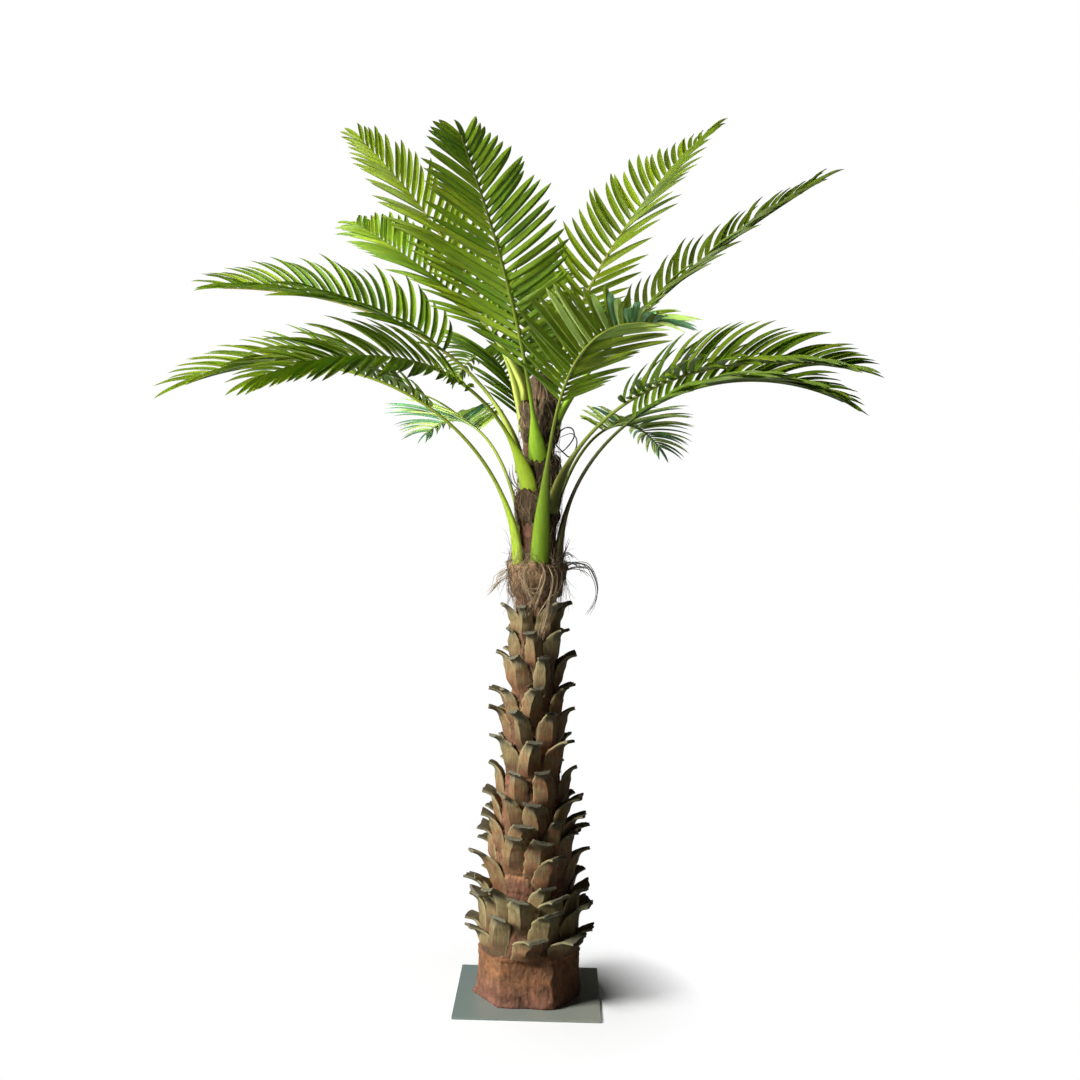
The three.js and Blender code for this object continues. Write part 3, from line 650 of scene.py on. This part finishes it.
def matted_fibre(name, light, dark, fineness, foot=None):
    """Fibre cloth: two sets of streaks across each other, dark in the gaps between them. A foot is a colour
    and the heights between which it gives way to the cloth's own."""
    material, tree, shader, place = finish_of(name)
    leaned = add(tree, "Mapping", {"Vector": place, "Rotation": (0.5, 0.6, 0.4)}).outputs["Vector"]
    upright, upright_height = streaked(tree, place, fineness, 0.16)
    crossed, crossed_height = streaked(tree, leaned, fineness * 0.8, 0.22)
    body = blend_colours(tree, product(tree, upright, crossed), dark, light)
    if foot:
        colour, *heights = foot
        fall = ranged(tree, height_of(tree, place), heights, (0.7, 0))
        body = blend_colours(tree, fall, body, colour)
    height = add(tree, "Math", {0: upright_height, 1: crossed_height}, operation="ADD").outputs[0]
    fill(tree, shader, {"Base Color": stained(tree, body, place, dark, 30, 0.38, 0.4), "Roughness": 0.95,
                        "Specular IOR Level": 0.15, "Normal": raised(tree, height, 0.9, 0.003)})
    return material


wrap_fibre = matted_fibre("wrap_fibre", WRAP_BROWN, WRAP_DARK, 170)
own_fibres = {
    "fibre_collar": matted_fibre("collar_fibre", COLLAR_TAN, COLLAR_BROWN, 190, (COLLAR_FOOT, 1.27, 1.33)),
    "fibre_cup": matted_fibre("cup_fibre", CUP_OLIVE, WRAP_DARK, 150),
}
for number, (node, *band) in enumerate(FIBRE_BANDS):
    flare = COLLAR_FLARE if node == "fibre_collar" else 0
    seed = BAND_SEED + BAND_SEED_STEP * number
    mat = skin(node + "_mat", band_rings(*band, seed, flare)[None], hoop=True)
    mat.data.materials.append(own_fibres.get(node, wrap_fibre))
    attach(mat, "root")
    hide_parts(node)


# Loose fibres: strands that stand off the bands, hang over the bark and curl away at the sides.
# Short ones are combed round each band, and the long ones are laid one by one, as are the wiry loops.
COMBED = [
    # lowest root, highest root, strands, length, lift, share that points up
    (1.275, 1.37, 240, 0.06, 0.005, 0.3),
    (1.33, 1.372, 170, 0.12, 0.03, 0.35),
    (1.345, 1.38, 220, 0.04, 0.018, 0.85),
    (1.05, 1.3, 90, 0.085, 0.005, 0.2),
    (1.37, 1.74, 150, 0.12, 0.003, 0.6),
    (1.49, 1.6, 110, 0.06, 0.006, 0.6),
    (1.612, 1.695, 80, 0.05, 0.006, 0.6),
    (1.745, 1.86, 120, 0.05, 0.006, 0.5),
    (0.165, 1.05, 260, 0.05, 0.003, 0.4),
]
# The laid lines run through these given points, which are in millimetres.
LAID_TAN = [
    [(36, -88, 1359), (49, -100, 1317), (41, -98, 1255), (24, -94, 1187), (16, -92, 1131)],
    [(51, -78, 1359), (64, -88, 1316), (53, -86, 1254), (33, -92, 1198), (18, -96, 1155)],
    [(66, -64, 1359), (80, -72, 1316), (62, -80, 1260), (36, -92, 1207)],
    [(6, -84, 1205), (30, -96, 1250), (52, -88, 1270), (70, -70, 1262)],
    [(20, -92, 1300), (0, -94, 1268), (-22, -90, 1240), (-34, -86, 1205)],
    [(-24, -92, 1366), (-38, -98, 1340), (-26, -96, 1290), (-4, -94, 1232)],
    [(-52, -76, 1330), (-36, -92, 1296), (-6, -96, 1276), (30, -92, 1282)],
    [(14, -94, 1366), (26, -102, 1330), (14, -98, 1276), (-6, -94, 1222)],
    [(-66, 10, 1330), (-95, 4, 1316), (-125, 0, 1298), (-155, 0, 1262)],
    [(-70, -20, 1345), (-100, -24, 1338), (-118, -28, 1318), (-120, -30, 1290)],
]
LAID_GREY = [
    [(70, 0, 1338), (110, 0, 1362), (155, 0, 1358), (180, 0, 1325), (190, 0, 1283), (182, 0, 1242),
     (163, 0, 1207)],
    [(72, 12, 1330), (108, 14, 1350), (145, 14, 1353), (167, 14, 1335)],
    [(68, -16, 1342), (98, -18, 1366), (130, -20, 1362), (150, -22, 1340)],
    [(64, -20, 1360), (80, -22, 1395), (88, -22, 1436)],
    [(64, -18, 1362), (94, -20, 1398), (118, -20, 1378)],
    [(-56, -30, 1580), (-80, -32, 1612), (-92, -34, 1662)],
    [(56, -18, 1690), (74, -20, 1656), (88, -20, 1618)],
    [(50, -20, 1700), (64, -22, 1664), (66, -22, 1630)],
]
LAID_BLACK = [
    [(46, 14, 1760), (78, 20, 1788), (102, 22, 1786), (108, 22, 1762), (90, 20, 1732), (70, 18, 1714),
     (46, 14, 1716)],
    [(46, 24, 1740), (74, 26, 1712), (94, 26, 1698), (112, 24, 1720), (116, 22, 1752), (96, 20, 1772),
     (50, 16, 1752)],
]
STRAND_SEED = 7
STRAND_POINTS = 10
STRAND_DRIFT, STRAND_WAVE, STRAND_WAVES = 0.35, 0.1, (3, 9)
STRAND_RUN, STRAND_ARCH = (0.4, 1.3), (0.8, 1.5)
STRAND_START = 0.004
CORD_TAPER = 0.75
STRAND_RADIUS, LAID_RADIUS, LOOP_RADIUS = 0.0006, 0.0011, 0.0022
LAID_POINTS = 26
LAID_COPIES = 5
LAID_SPREAD, LOOP_SPREAD = 0.007, 0.002
LAID_WAVE, LAID_WAVES = 0.3, (4, 11)
STRAND_COLOURS = [
    # name, light, dark
    ("straw_strand", (0.4, 0.3, 0.17), (0.24, 0.165, 0.09)),
    ("tan_strand", (0.26, 0.18, 0.1), (0.14, 0.09, 0.05)),
    ("umber_strand", (0.13, 0.085, 0.05), (0.055, 0.036, 0.022)),
    ("ash_strand", (0.2, 0.19, 0.17), (0.09, 0.08, 0.07)),
    ("black_wire", (0.02, 0.018, 0.018), (0.045, 0.04, 0.038)),
]


def sleeve_radius(height):
    """How far out the bark or the band over it reaches at each height."""
    reach = bark_radius(height) + BAND_INNER_GAP
    for node, bottom, top, *walls in FIBRE_BANDS:
        over = band_outside(height, bottom, top, *walls)
        reach = np.where((height > bottom) & (height < top), over, reach)
    return reach


def combed_strands(random, low, high, count, length, lift, upward_share):
    """Paths that start on the sleeve and run up or down it, drifting sideways, waving and lifting off
    towards the end."""
    share = np.linspace(0, 1, STRAND_POINTS)
    each = (count, 1)
    turn = random.uniform(0, FULL_TURN, each) + random.normal(0, STRAND_DRIFT, each) * share
    turn = turn + random.normal(0, STRAND_WAVE, each) * np.sin(share * random.uniform(*STRAND_WAVES, each))
    run = length * random.uniform(*STRAND_RUN, each)
    run = run * np.where(random.random(each) < upward_share, 1, -1)
    height = random.uniform(low, high, each) + run * np.sin(share * random.uniform(*STRAND_ARCH, each))
    stand = lift * np.abs(random.normal(0, 1, each)) * share ** 1.6 + random.uniform(0, STRAND_START, each)
    start = sleeve_radius(np.clip(height, 0, TRUNK_TOP)[:, :1])
    return round_trunk(turn, height, start * (1 - share) + sleeve_radius(height) * share + stand)


def through(points, count):
    """A smooth path through listed points: cubic pieces whose slopes come from the points beside them."""
    points = np.array(points) / 1000
    slopes = np.gradient(points, axis=0)
    place = np.linspace(0, len(points) - 1, count)
    first = np.minimum(place.astype(int), len(points) - 2)
    part = (place - first)[:, None]
    rise = part * part * (3 - 2 * part)
    return (points[first] * (1 - rise) + points[first + 1] * rise
            + slopes[first] * part * (1 - part) ** 2 - slopes[first + 1] * part ** 2 * (1 - part))


def cord_rings(paths, radius, sides):
    """Round tubes along paths, thinner at their ends: a circle square to the path at each point, set out
    from a direction that leans away from the trunk."""
    forwards = unit(np.gradient(paths, axis=1))
    outward = unit(paths * [1, 1, 0] + [0.011, 0.007, 0.03])
    across = unit(np.cross(forwards, outward))
    over = np.cross(forwards, across)
    bend = even_turns(sides)[:, None]
    taper = 1 - CORD_TAPER * np.abs(np.linspace(-0.6, 1, paths.shape[1])) ** 3
    circle = np.cos(bend) * across[:, :, None] + np.sin(bend) * over[:, :, None]
    return paths[:, :, None] + circle * (radius * taper)[:, None, None]


def laid_strands(random, lines, copies, spread):
    """Each listed line, in copies that spread apart and wave towards its end."""
    laid = np.array([through(line, LAID_POINTS) for line in lines for copy in range(copies)])
    apart = np.linspace(0, 1, LAID_POINTS)[None, :, None]
    shift = random.normal(0, spread, (len(laid), 1, 3)) * apart
    waves = np.sin(apart * random.uniform(*LAID_WAVES, (len(laid), 1, 3)))
    return laid + shift + LAID_WAVE * spread * waves


def strand_finish(name, light, dark):
    """Dull strands of one colour with blots of another, and a fine fuzz."""
    material, tree, shader, place = finish_of(name)
    fuzz = noise(tree, place, 900)
    fill(tree, shader, {"Base Color": blend_colours(tree, blotted(tree, place, 70, 0.4), light, dark),
                        "Roughness": 0.8, "Normal": raised(tree, fuzz, 0.4, 0.0004)})
    return material


straw, tan, umber, ash, wire = [strand_finish(*colours) for colours in STRAND_COLOURS]
random = np.random.default_rng(STRAND_SEED)
combed = np.concatenate([combed_strands(random, *comb) for comb in COMBED])
strands = skin("combed_fibres", cord_rings(combed, STRAND_RADIUS, 3))
paint_faces(strands, [straw, tan, umber], random.integers(0, 3, len(combed)))
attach(strands, "root")

laid_tan = laid_strands(random, LAID_TAN, LAID_COPIES, LAID_SPREAD)
laid_grey = laid_strands(random, LAID_GREY, LAID_COPIES, LAID_SPREAD)
laid = skin("laid_fibres", cord_rings(np.concatenate([laid_tan, laid_grey]), LAID_RADIUS, 4))
paint_faces(laid, [straw, ash], np.repeat([0, 1], [len(laid_tan), len(laid_grey)]))
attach(laid, "root")

loops = skin("wiry_loops", cord_rings(laid_strands(random, LAID_BLACK, 1, LOOP_SPREAD), LOOP_RADIUS, 6))
loops.data.materials.append(wire)
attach(loops, "root")


# Frond ribs: a moulded stem over a wire for each frond. Its broad flat foot clasps the shaft and is
# bound there by the fibre, and past the bare stem the rib carries the leaflets to its tip.
FROND_FIELDS = ("name", "seat", "seat_turn", "heading", "rise", "droop", "bend", "swing", "length", "bare",
                "roll", "twist", "vee", "leaf", "spread", "foot", "foot_width", "stem", "tone", "tip_tone")
# Each frond has a line for its arc and one for its blades, foot and greens. Angles are in degrees, the
# bare stem is a share of the length, and stem and tones are places in the lists of finishes.
FROND_TABLE = [
    ("frond_low_left", 1.372, 208, 208, 89, 120, 0.8, -6, 1.41, 0.4,
     18, 0, 24, 0.24, 1, 0.27, 0.05, 4, 4, 4.5),
    ("frond_low_front", 1.374, 279, 278, 84, 103, 0.85, 26, 1.39, 0.4,
     12, 0, 24, 0.25, 1, 0.38, 0.06, 0, 3.9, 6.6),
    ("frond_low_right", 1.372, 352, 4, 92, 126, 0.92, -18, 1.29, 0.4,
     -25, 0, 30, 0.22, 0.8, 0.22, 0.048, 3, 3.4, 4.4),
    ("frond_low_back_left", 1.372, 130, 119, 82, 110, 0.9, 0, 1.12, 0.5,
     0, 0, 26, 0.26, 1, 0.2, 0.048, 2, 6.2, 6.4),
    ("frond_low_back_right", 1.372, 62, 62, 82, 118, 0.9, 0, 1.2, 0.5,
     0, 0, 26, 0.26, 1, 0.2, 0.048, 2, 5.8, 6.2),
    ("frond_mid_front_left", 1.605, 236, 238, 71, 101, 0.68, -34, 1.23, 0.34,
     36, 0, 16, 0.215, 0.9, 0.22, 0.062, 4, 4.2, 4.5),
    ("frond_mid_front_right", 1.545, 318, -42, 90, 105, 0.5, 34, 1.205, 0.34,
     -30, 0, 34, 0.21, 1, 0.24, 0.048, 2, 3.9, 4.5),
    ("frond_mid_left", 1.67, 180, 164, 89, 96, 0.55, 37, 1.29, 0.34,
     28, 0, 32, 0.25, 1, 0.24, 0.048, 1, 3.3, 4.1),
    ("frond_mid_front", 1.69, 266, 257, 70, 63, 0.72, 9, 1.375, 0.21,
     0, 0, 16, 0.25, 1, 0.17, 0.06, 0, 3.4, 4.1),
    ("frond_mid_back_right", 1.65, 80, 78, 76, 98, 0.9, 0, 1.4, 0.22,
     0, 0, 30, 0.24, 1, 0.2, 0.048, 2, 2.4, 3.4),
    ("frond_mid_back_left", 1.56, 112, 108, 76, 104, 0.9, 0, 1.38, 0.22,
     0, 0, 30, 0.24, 1, 0.2, 0.048, 2, 2.4, 3.4),
    ("frond_top_left", 1.895, 200, 144, 84, 66, 0.3, -34, 1.27, 0.17,
     26, 0, 30, 0.23, 0.9, 0.18, 0.048, 1, 3.4, 4.1),
    ("frond_top_back_left", 1.8, 160, 142, 82, 48, 0.5, -10, 1.45, 0.18,
     34, 0, 26, 0.23, 0.9, 0.2, 0.048, 1, 8.9, 9.5),
    ("frond_top_back_right", 1.85, 50, 37, 90, 56, 0.52, 13, 1.365, 0.2,
     -54, 75, 26, 0.23, 1, 0.2, 0.048, 1, 8.9, 9.2),
    ("frond_top_right", 1.81, 354, 12, 78, 46, 0.3, -6, 1.255, 0.18,
     -20, 0, 27, 0.19, 0.85, 0.2, 0.048, 0, 8, 8.3),
    ("frond_top_back", 1.78, 98, 94, 70, 84, 0.9, 0, 1.38, 0.2,
     0, 0, 30, 0.24, 1, 0.2, 0.048, 2, 2.8, 3.8),
]
FRONDS = [dict(zip(FROND_FIELDS, row)) for row in FROND_TABLE]
RIB_STEPS = 60
RIB_RINGS = 96
RIB_SIDES = 14
RIB_END = 0.93
RIB_PLACES = np.linspace(0, 1, RIB_RINGS - 1) ** 1.35
RIB_BLUNTNESS = 0.85
RIB_FOOT_TAIL = 0.026
RIB_FOOT_THICKNESS = 0.026
RIB_FOOT_SINK = 0.003
RIB_STEM_WIDTH, RIB_TIP_WIDTH = 0.0135, 0.0035
STEM_FINISHES = [
    # name, foot, stem, rib between the leaflets
    ("lime_stem", (0.24, 0.41, 0.02), (0.17, 0.25, 0.02), (0.23, 0.29, 0.03)),
    ("pale_stem", (0.33, 0.39, 0.06), (0.22, 0.29, 0.03), (0.21, 0.19, 0.03)),
    ("olive_stem", (0.19, 0.205, 0.03), (0.17, 0.22, 0.024), (0.22, 0.28, 0.035)),
    # The dark stem's foot and stem colours are painted shade, for a frond whose stem lies in shadow; its rib
    # between the leaflets is green.
    ("shaded_dark_stem", (0.15, 0.13, 0.045), (0.07, 0.068, 0.026), (0.13, 0.19, 0.028)),
    ("yellow_stem", (0.42, 0.59, 0.036), (0.24, 0.32, 0.03), (0.26, 0.32, 0.035)),
]


def rib_line(frond):
    """The rib's centre line, summed in equal steps from its seat on the bark."""
    reach = bark_radius(frond["seat"]) + RIB_FOOT_THICKNESS / 2 - RIB_FOOT_SINK
    seat = round_trunk(np.radians(frond["seat_turn"]), frond["seat"], reach)
    steps = rib_direction(frond, (np.arange(RIB_STEPS) + 0.5) / RIB_STEPS) * frond["length"] / RIB_STEPS
    return seat + np.concatenate([np.zeros((1, 3)), np.cumsum(steps, axis=0)])


def rib_turn(frond, share):
    """Which way the rib heads: its heading and a swing that grows by the square of the share."""
    return np.radians(frond["heading"] + frond["swing"] * share ** 2)


def rib_direction(frond, share):
    """Where the rib points: its climb falls off from the rise by a power of the share."""
    climb = np.radians(frond["rise"] - frond["droop"] * share ** frond["bend"])
    return round_trunk(rib_turn(frond, share), np.sin(climb), np.cos(climb))


def blade_frame(frond, share):
    """Along the rib, across the blade and out of its upper face. The foot lies flat on the shaft, and the
    rib turns to the blade's roll by the first leaflets."""
    along, turn = rib_direction(frond, share), rib_turn(frond, share)
    level = np.stack([np.sin(turn), -np.cos(turn), 0 * turn], axis=-1)
    roll = np.radians(frond["roll"] + frond["twist"] * share) * fade(share, 0, frond["bare"])
    return along, *turned(level, np.cross(level, along), roll[..., None])


def on_rib(line, share):
    """Places on a rib's centre line at shares of its length."""
    place, steps = share * RIB_STEPS, np.arange(RIB_STEPS + 1)
    return np.stack([np.interp(place, steps, line[:, axis]) for axis in range(3)], axis=-1)


def rib_halves(frond, distance):
    """Half the width and half the thickness: a broad foot that falls by a smooth step to a slim tapering
    stem."""
    stem = RIB_STEM_WIDTH + (RIB_TIP_WIDTH - RIB_STEM_WIDTH) * distance / frond["length"]
    foot = 1 - fade(distance, 0, frond["foot"])
    return ((stem * (1 - foot) + frond["foot_width"] * foot) / 2,
            (stem * (1 - foot) + RIB_FOOT_THICKNESS * foot) / 2)


def rib_rings(frond):
    """A rounded section carried along the rib. The foot's section bends back to clasp the shaft."""
    share = RIB_END * RIB_PLACES
    along, side, upper = blade_frame(frond, share)
    centre = on_rib(rib_line(frond), share)
    half_width, half_thickness = rib_halves(frond, share * frond["length"])
    bend = even_turns(RIB_SIDES)
    across = -blunt(np.cos(bend), RIB_BLUNTNESS) * half_width[:, None]
    clasp = across ** 2 / (2 * bark_radius(frond["seat"]))
    out = np.sin(bend) * half_thickness[:, None] + clasp
    rings = centre[:, None] + side[:, None] * across[..., None] + upper[:, None] * out[..., None]
    return np.concatenate([rings[:1] - along[0] * RIB_FOOT_TAIL, rings])


ribs = skin("frond_ribs", np.array([rib_rings(frond) for frond in FRONDS]))
rib_share = np.insert(RIB_PLACES, 0, 0)
mark(ribs, "share", np.broadcast_to(rib_share[None, :, None], (len(FRONDS), RIB_RINGS, RIB_SIDES)))


def stem_finish(name, foot, stem, rib):
    """Smooth moulded plastic: foot, stem and rib colours along the rib, with faint streaks and a dull
    shine."""
    material, tree, shader, place = finish_of(name)
    body = ramp(tree, stored(tree, "share"), [(0, foot), (0.12, foot), (0.24, stem), (0.4, rib), (1, rib)])
    mask, lines = streaked(tree, place, 120, 0.06)
    shade = [channel * 0.45 for channel in stem]
    fill(tree, shader, {"Base Color": lined(tree, body, mask, shade, 0.28), "Roughness": 0.45,
                        "Specular IOR Level": 0.25, "Normal": raised(tree, lines, 0.2, 0.001)})
    return material


stem_tones = np.array([frond["stem"] for frond in FRONDS])
paint_faces(ribs, [stem_finish(*finish) for finish in STEM_FINISHES], stem_tones)
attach(ribs, "root")


# Leaflets: long moulded plastic blades in pairs along each rib, folded up along the middle like a gutter.
# Each tier of fronds is one piece, and the greens are dealt out leaflet by leaflet, around a tone that
# changes from the frond's foot to its tip.
LEAFLET_SEED = 11
LEAFLET_PAIRS = 29
LEAFLET_ZONE_END = 0.91
LEAFLET_STAGGER = 0.1
LEAFLET_STEPS = 12
LEAFLET_HALF_WIDTH = 0.011
LEAFLET_HALF_SPACING = 0.5
LEAFLET_HALF_THICKNESS = 0.0007
LEAFLET_HALF_TIP = 0.0004
LEAFLET_FOLD = 0.75
LEAFLET_TURN = np.radians(16)
LEAFLET_CURVE = 0.42
LEAFLET_FLATTENING = 0.25
LEAFLET_SAG = 0.22
LEAFLET_PROFILE = ([0, 0.12, 0.35, 0.7, 1], [0.5, 0.8, 1, 0.86, 0.5])
LEAFLET_LEAN = ([0, 0.5, 1], [76, 56, 26])
LEAFLET_CLEARANCE = 0.004
LIMB_START, LIMB_POINTS = 0.02, 90
# How far each leaflet strays: its length as a share, and its lean, vee and turn in degrees.
LENGTH_SPREAD, LEAN_SPREAD, VEE_SPREAD, TURN_SPREAD = 0.05, 2.5, 5, 4
TONE_SPREAD = 0.55
LEAFLET_LEAST_SIZE = 0.4
LEAF_GREENS = [
    ("leaf_deep", (0.029, 0.063, 0.003)), ("leaf_dark", (0.041, 0.086, 0.004)),
    ("leaf_mid", (0.06, 0.119, 0.006)), ("leaf_fresh", (0.084, 0.156, 0.008)),
    ("leaf_lime", (0.118, 0.195, 0.01)), ("leaf_yellow", (0.168, 0.24, 0.014)),
    # The pale green is far brighter than a leaf's own colour: painted light shining through the leaves of
    # the fronds that use it. The blue green is the drooping tips' own tint, brightened as a painted bluish
    # sheen.
    ("leaf_painted_backlight", (0.52, 0.7, 0.19)), ("leaf_blue_sheen", (0.15, 0.33, 0.15)),
    ("leaf_olive", (0.056, 0.086, 0.003)), ("leaf_moss", (0.078, 0.119, 0.004)),
    ("leaf_gold", (0.114, 0.166, 0.005)),
]
# A frond keeps to the first family whose last green isn't below its tip's tone.
LEAF_FAMILIES = [(0, 5), (0, 7), (8, 10)]
LEAF_SHEEN = 0.42
LEAF_GLOW_DEPTH = 0.004
TIERS = {"leaflets_low": "frond_low", "leaflets_middle": "frond_mid", "leaflets_top": "frond_top"}


def leaflet_outline(run):
    """The share of a blade's full width at each share of its length. It opens by a power of the length to
    its full width at a fifth of it, and closes at the tip by one less a high power."""
    return np.minimum(1, (run + 0.12) / 0.32) ** 0.8 * (1 - run ** 4.2)


def leaflet_rings(frond, random, limbs):
    """Folded blades on both sides of a rib and one at its tip, with the green of each. Each leans off the
    rib, curves forward and sags, and is left out where it would touch the shaft or another rib."""
    hands = np.repeat([-1, 1, 0], [LEAFLET_PAIRS, LEAFLET_PAIRS, 1])
    order = np.tile(np.arange(LEAFLET_PAIRS), 2) + 0.5 + LEAFLET_STAGGER * hands[:-1]
    zone = np.append(order / LEAFLET_PAIRS, 1)

    def stray(spread):
        """A random departure for each blade."""
        return spread * random.normal(size=zone.size)

    share = frond["bare"] + (LEAFLET_ZONE_END - frond["bare"]) * zone
    along, side, upper = blade_frame(frond, share)
    length = frond["leaf"] * np.interp(zone, *LEAFLET_PROFILE) * (1 + stray(LENGTH_SPREAD))
    length = np.where(hands == 0, (1 - LEAFLET_ZONE_END) * frond["length"], length)
    lean = np.interp(zone, *LEAFLET_LEAN) * frond["spread"] + stray(LEAN_SPREAD)
    lean = (np.radians(lean) * np.abs(hands))[:, None]
    vee = np.radians(frond["vee"] + stray(VEE_SPREAD))[:, None]
    point, points, directions = on_rib(rib_line(frond), share), [], []
    for step in range(LEAFLET_STEPS + 1):
        place = min(step + 0.5, LEAFLET_STEPS) / LEAFLET_STEPS
        angle, lift = lean * (1 - LEAFLET_CURVE * place), vee * (1 - LEAFLET_FLATTENING * place)
        aside = hands[:, None] * np.cos(lift) * side + np.sin(lift) * upper
        sag = [0, 0, LEAFLET_SAG * place ** 1.5]
        ahead = unit(np.cos(angle) * along + np.sin(angle) * aside - sag)
        points.append(point)
        directions.append(ahead)
        point = point + ahead * (length / LEAFLET_STEPS)[:, None]
    line, ahead = np.stack(points, axis=1), np.stack(directions, axis=1)
    flat = np.where(hands[:, None] == 0, side, along)[:, None]
    square = unit(np.cross(ahead, flat))
    facing = np.sign(np.sum(square * upper[:, None], axis=-1, keepdims=True))
    twist = LEAFLET_TURN * facing + np.radians(stray(TURN_SPREAD))[:, None, None]
    wide, square = turned(np.cross(square, ahead), square, twist)
    run = np.linspace(0, 1, LEAFLET_STEPS + 1)[:, None]
    size = LEAFLET_LEAST_SIZE + (1 - LEAFLET_LEAST_SIZE) * np.minimum(1, length / frond["leaf"])
    spacing = (LEAFLET_ZONE_END - frond["bare"]) * frond["length"] / LEAFLET_PAIRS
    widest = min(LEAFLET_HALF_WIDTH, LEAFLET_HALF_SPACING * spacing)
    half = size[:, None, None] * (widest * leaflet_outline(run) + LEAFLET_HALF_TIP)
    edge = square * facing * half * LEAFLET_FOLD
    middle = square * LEAFLET_HALF_THICKNESS * (1.05 - run)
    rings = np.stack([line - wide * half + edge, line - middle, line + wide * half + edge, line + middle],
                     axis=2)
    reach = np.linalg.norm(line[..., :2], axis=-1)
    in_shaft = (reach < bark_radius(line[..., 2]) + LEAFLET_CLEARANCE) & (line[..., 2] < TRUNK_TOP)
    gaps = np.linalg.norm(line[:, 1:, None, None] - limbs[None, None], axis=-1).min(axis=(1, 2, 3))
    kept = (gaps > LEAFLET_CLEARANCE + RIB_STEM_WIDTH / 2) & ~in_shaft.any(axis=1)
    tone = frond["tone"] + (frond["tip_tone"] - frond["tone"]) * zone + stray(TONE_SPREAD)
    first, last = next(family for family in LEAF_FAMILIES if frond["tip_tone"] <= family[1])
    return rings[kept], np.clip(np.round(tone), first, last).astype(int)[kept]


def leaf_finish(name, green):
    """Satin plastic of one green, a little darker and duller in faint blots."""
    material, tree, shader, place = finish_of(name)
    cloud = noise(tree, place, 26, Detail=3)
    share = ranged(tree, cloud, (0.35, 0.7), (0, 0.4))
    shade = [channel * 0.6 for channel in green]
    gloss = ranged(tree, cloud, to=(LEAF_SHEEN - 0.08, LEAF_SHEEN + 0.1))
    veins = noise(tree, place, 300, Detail=2)
    shader.subsurface_method = "BURLEY"
    fill(tree, shader, {"Base Color": blend_colours(tree, share, green, shade), "Roughness": gloss,
                        "Specular IOR Level": 0.09, "Subsurface Weight": 0.3,
                        "Subsurface Radius": (0.45, 1, 0.25), "Subsurface Scale": LEAF_GLOW_DEPTH,
                        "Normal": raised(tree, veins, 0.15, 0.0006)})
    return material


greens = [leaf_finish(*green) for green in LEAF_GREENS]
limb_share = np.linspace(LIMB_START, RIB_END, LIMB_POINTS)
limb_lines = np.array([on_rib(rib_line(frond), limb_share) for frond in FRONDS])
random = np.random.default_rng(LEAFLET_SEED)
for name, tier in TIERS.items():
    members = [number for number, frond in enumerate(FRONDS) if frond["name"].startswith(tier)]
    blades = [leaflet_rings(FRONDS[number], random, np.delete(limb_lines, number, axis=0))
              for number in members]
    leaflets = skin(name, np.concatenate([rings for rings, tones in blades]))
    paint_faces(leaflets, greens, np.concatenate([tones for rings, tones in blades]))
    leaflets.data.shade_flat()
    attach(leaflets, "root")
    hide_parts(*[FRONDS[number]["name"] for number in members])


# Studio: a wide pale floor that brightens into the white background, and a large soft key panel at the
# upper left front. Two soft spot lamps lighten the crown and the left fronds, and a panel hangs overhead.
FLOOR_RADIUS = 40.0
FLOOR_THICKNESS = 0.02
FLOOR_SIDES = 96
FLOOR_PALE = (0.9, 0.9, 0.89)
FLOOR_BOUNCE = (0.15, 0.15, 0.145)
FLOOR_FADE = (0.24, 0.55)
WHITE = (1, 1, 1)
WORLD_LIGHT = 0.035
LIGHTS = [
    # name, place, aim, size, watts, width of the beam in degrees, or 0 for a flat panel
    ("key_panel", (-7.7, -3.5, 6.0), (0, 0, 1.3), 3.0, 1850, 0),
    ("crown_lamp", (-1.5, -6.0, 3.6), (0, 0, 3.2), 1.2, 4100, 20.5),
    ("frond_lamp", (-3.4, -5.0, 1.1), (-0.85, -0.2, 1.92), 1.0, 3000, 18.5),
    ("top_panel", (-0.8, 0.6, 5.6), (0, 0, 1.6), 2.2, 35, 0),
]

floor_turn = even_turns(FLOOR_SIDES)
floor_ring = round_trunk(floor_turn, 0 * floor_turn, FLOOR_RADIUS)
floor = skin("floor", np.stack([floor_ring - [0, 0, FLOOR_THICKNESS], floor_ring])[None])
pale, tree, shader, place = finish_of("pale_floor")
away = add(tree, "VectorMath", {0: place}, operation="LENGTH").outputs["Value"]
rays = add(tree, "LightPath", {})
glow = product(tree, ranged(tree, away, FLOOR_FADE), rays.outputs["Is Camera Ray"])
seen = blend_colours(tree, rays.outputs["Is Diffuse Ray"], FLOOR_PALE, FLOOR_BOUNCE)
fill(tree, shader, {"Base Color": seen, "Roughness": 0.9, "Specular IOR Level": 0.1})
white = add(tree, "Emission", {"Color": WHITE, "Strength": 1.0})
mixed = add(tree, "MixShader", {0: glow, 1: shader.outputs["BSDF"], 2: white.outputs["Emission"]})
fill(tree, tree.nodes["Material Output"], {"Surface": mixed.outputs["Shader"]})
floor.data.shade_flat()
floor.data.materials.append(pale)

for name, place, aim, size, watts, beam in LIGHTS:
    lamp = bpy.data.lights.new(name, "SPOT" if beam else "AREA")
    lamp.energy = watts
    if beam:
        lamp.shadow_soft_size = size / 2
        lamp.spot_size = np.radians(beam)
        lamp.spot_blend = 1.0
    else:
        lamp.size = size
    panel = bpy.data.objects.new(name, lamp)
    panel.location = place
    panel.rotation_euler = (Vector(aim) - Vector(place)).to_track_quat("-Z", "Y").to_euler()
    bpy.context.scene.collection.objects.link(panel)

world = bpy.data.worlds.new("white_studio")
bpy.context.scene.world = world
world.use_nodes = True
tree = world.node_tree
rays = add(tree, "LightPath", {})
strength = ranged(tree, rays.outputs["Is Camera Ray"], to=(WORLD_LIGHT, 1))
fill(tree, tree.nodes["Background"], {"Color": WHITE, "Strength": strength})
bpy.context.scene.view_settings.view_transform = "Standard"
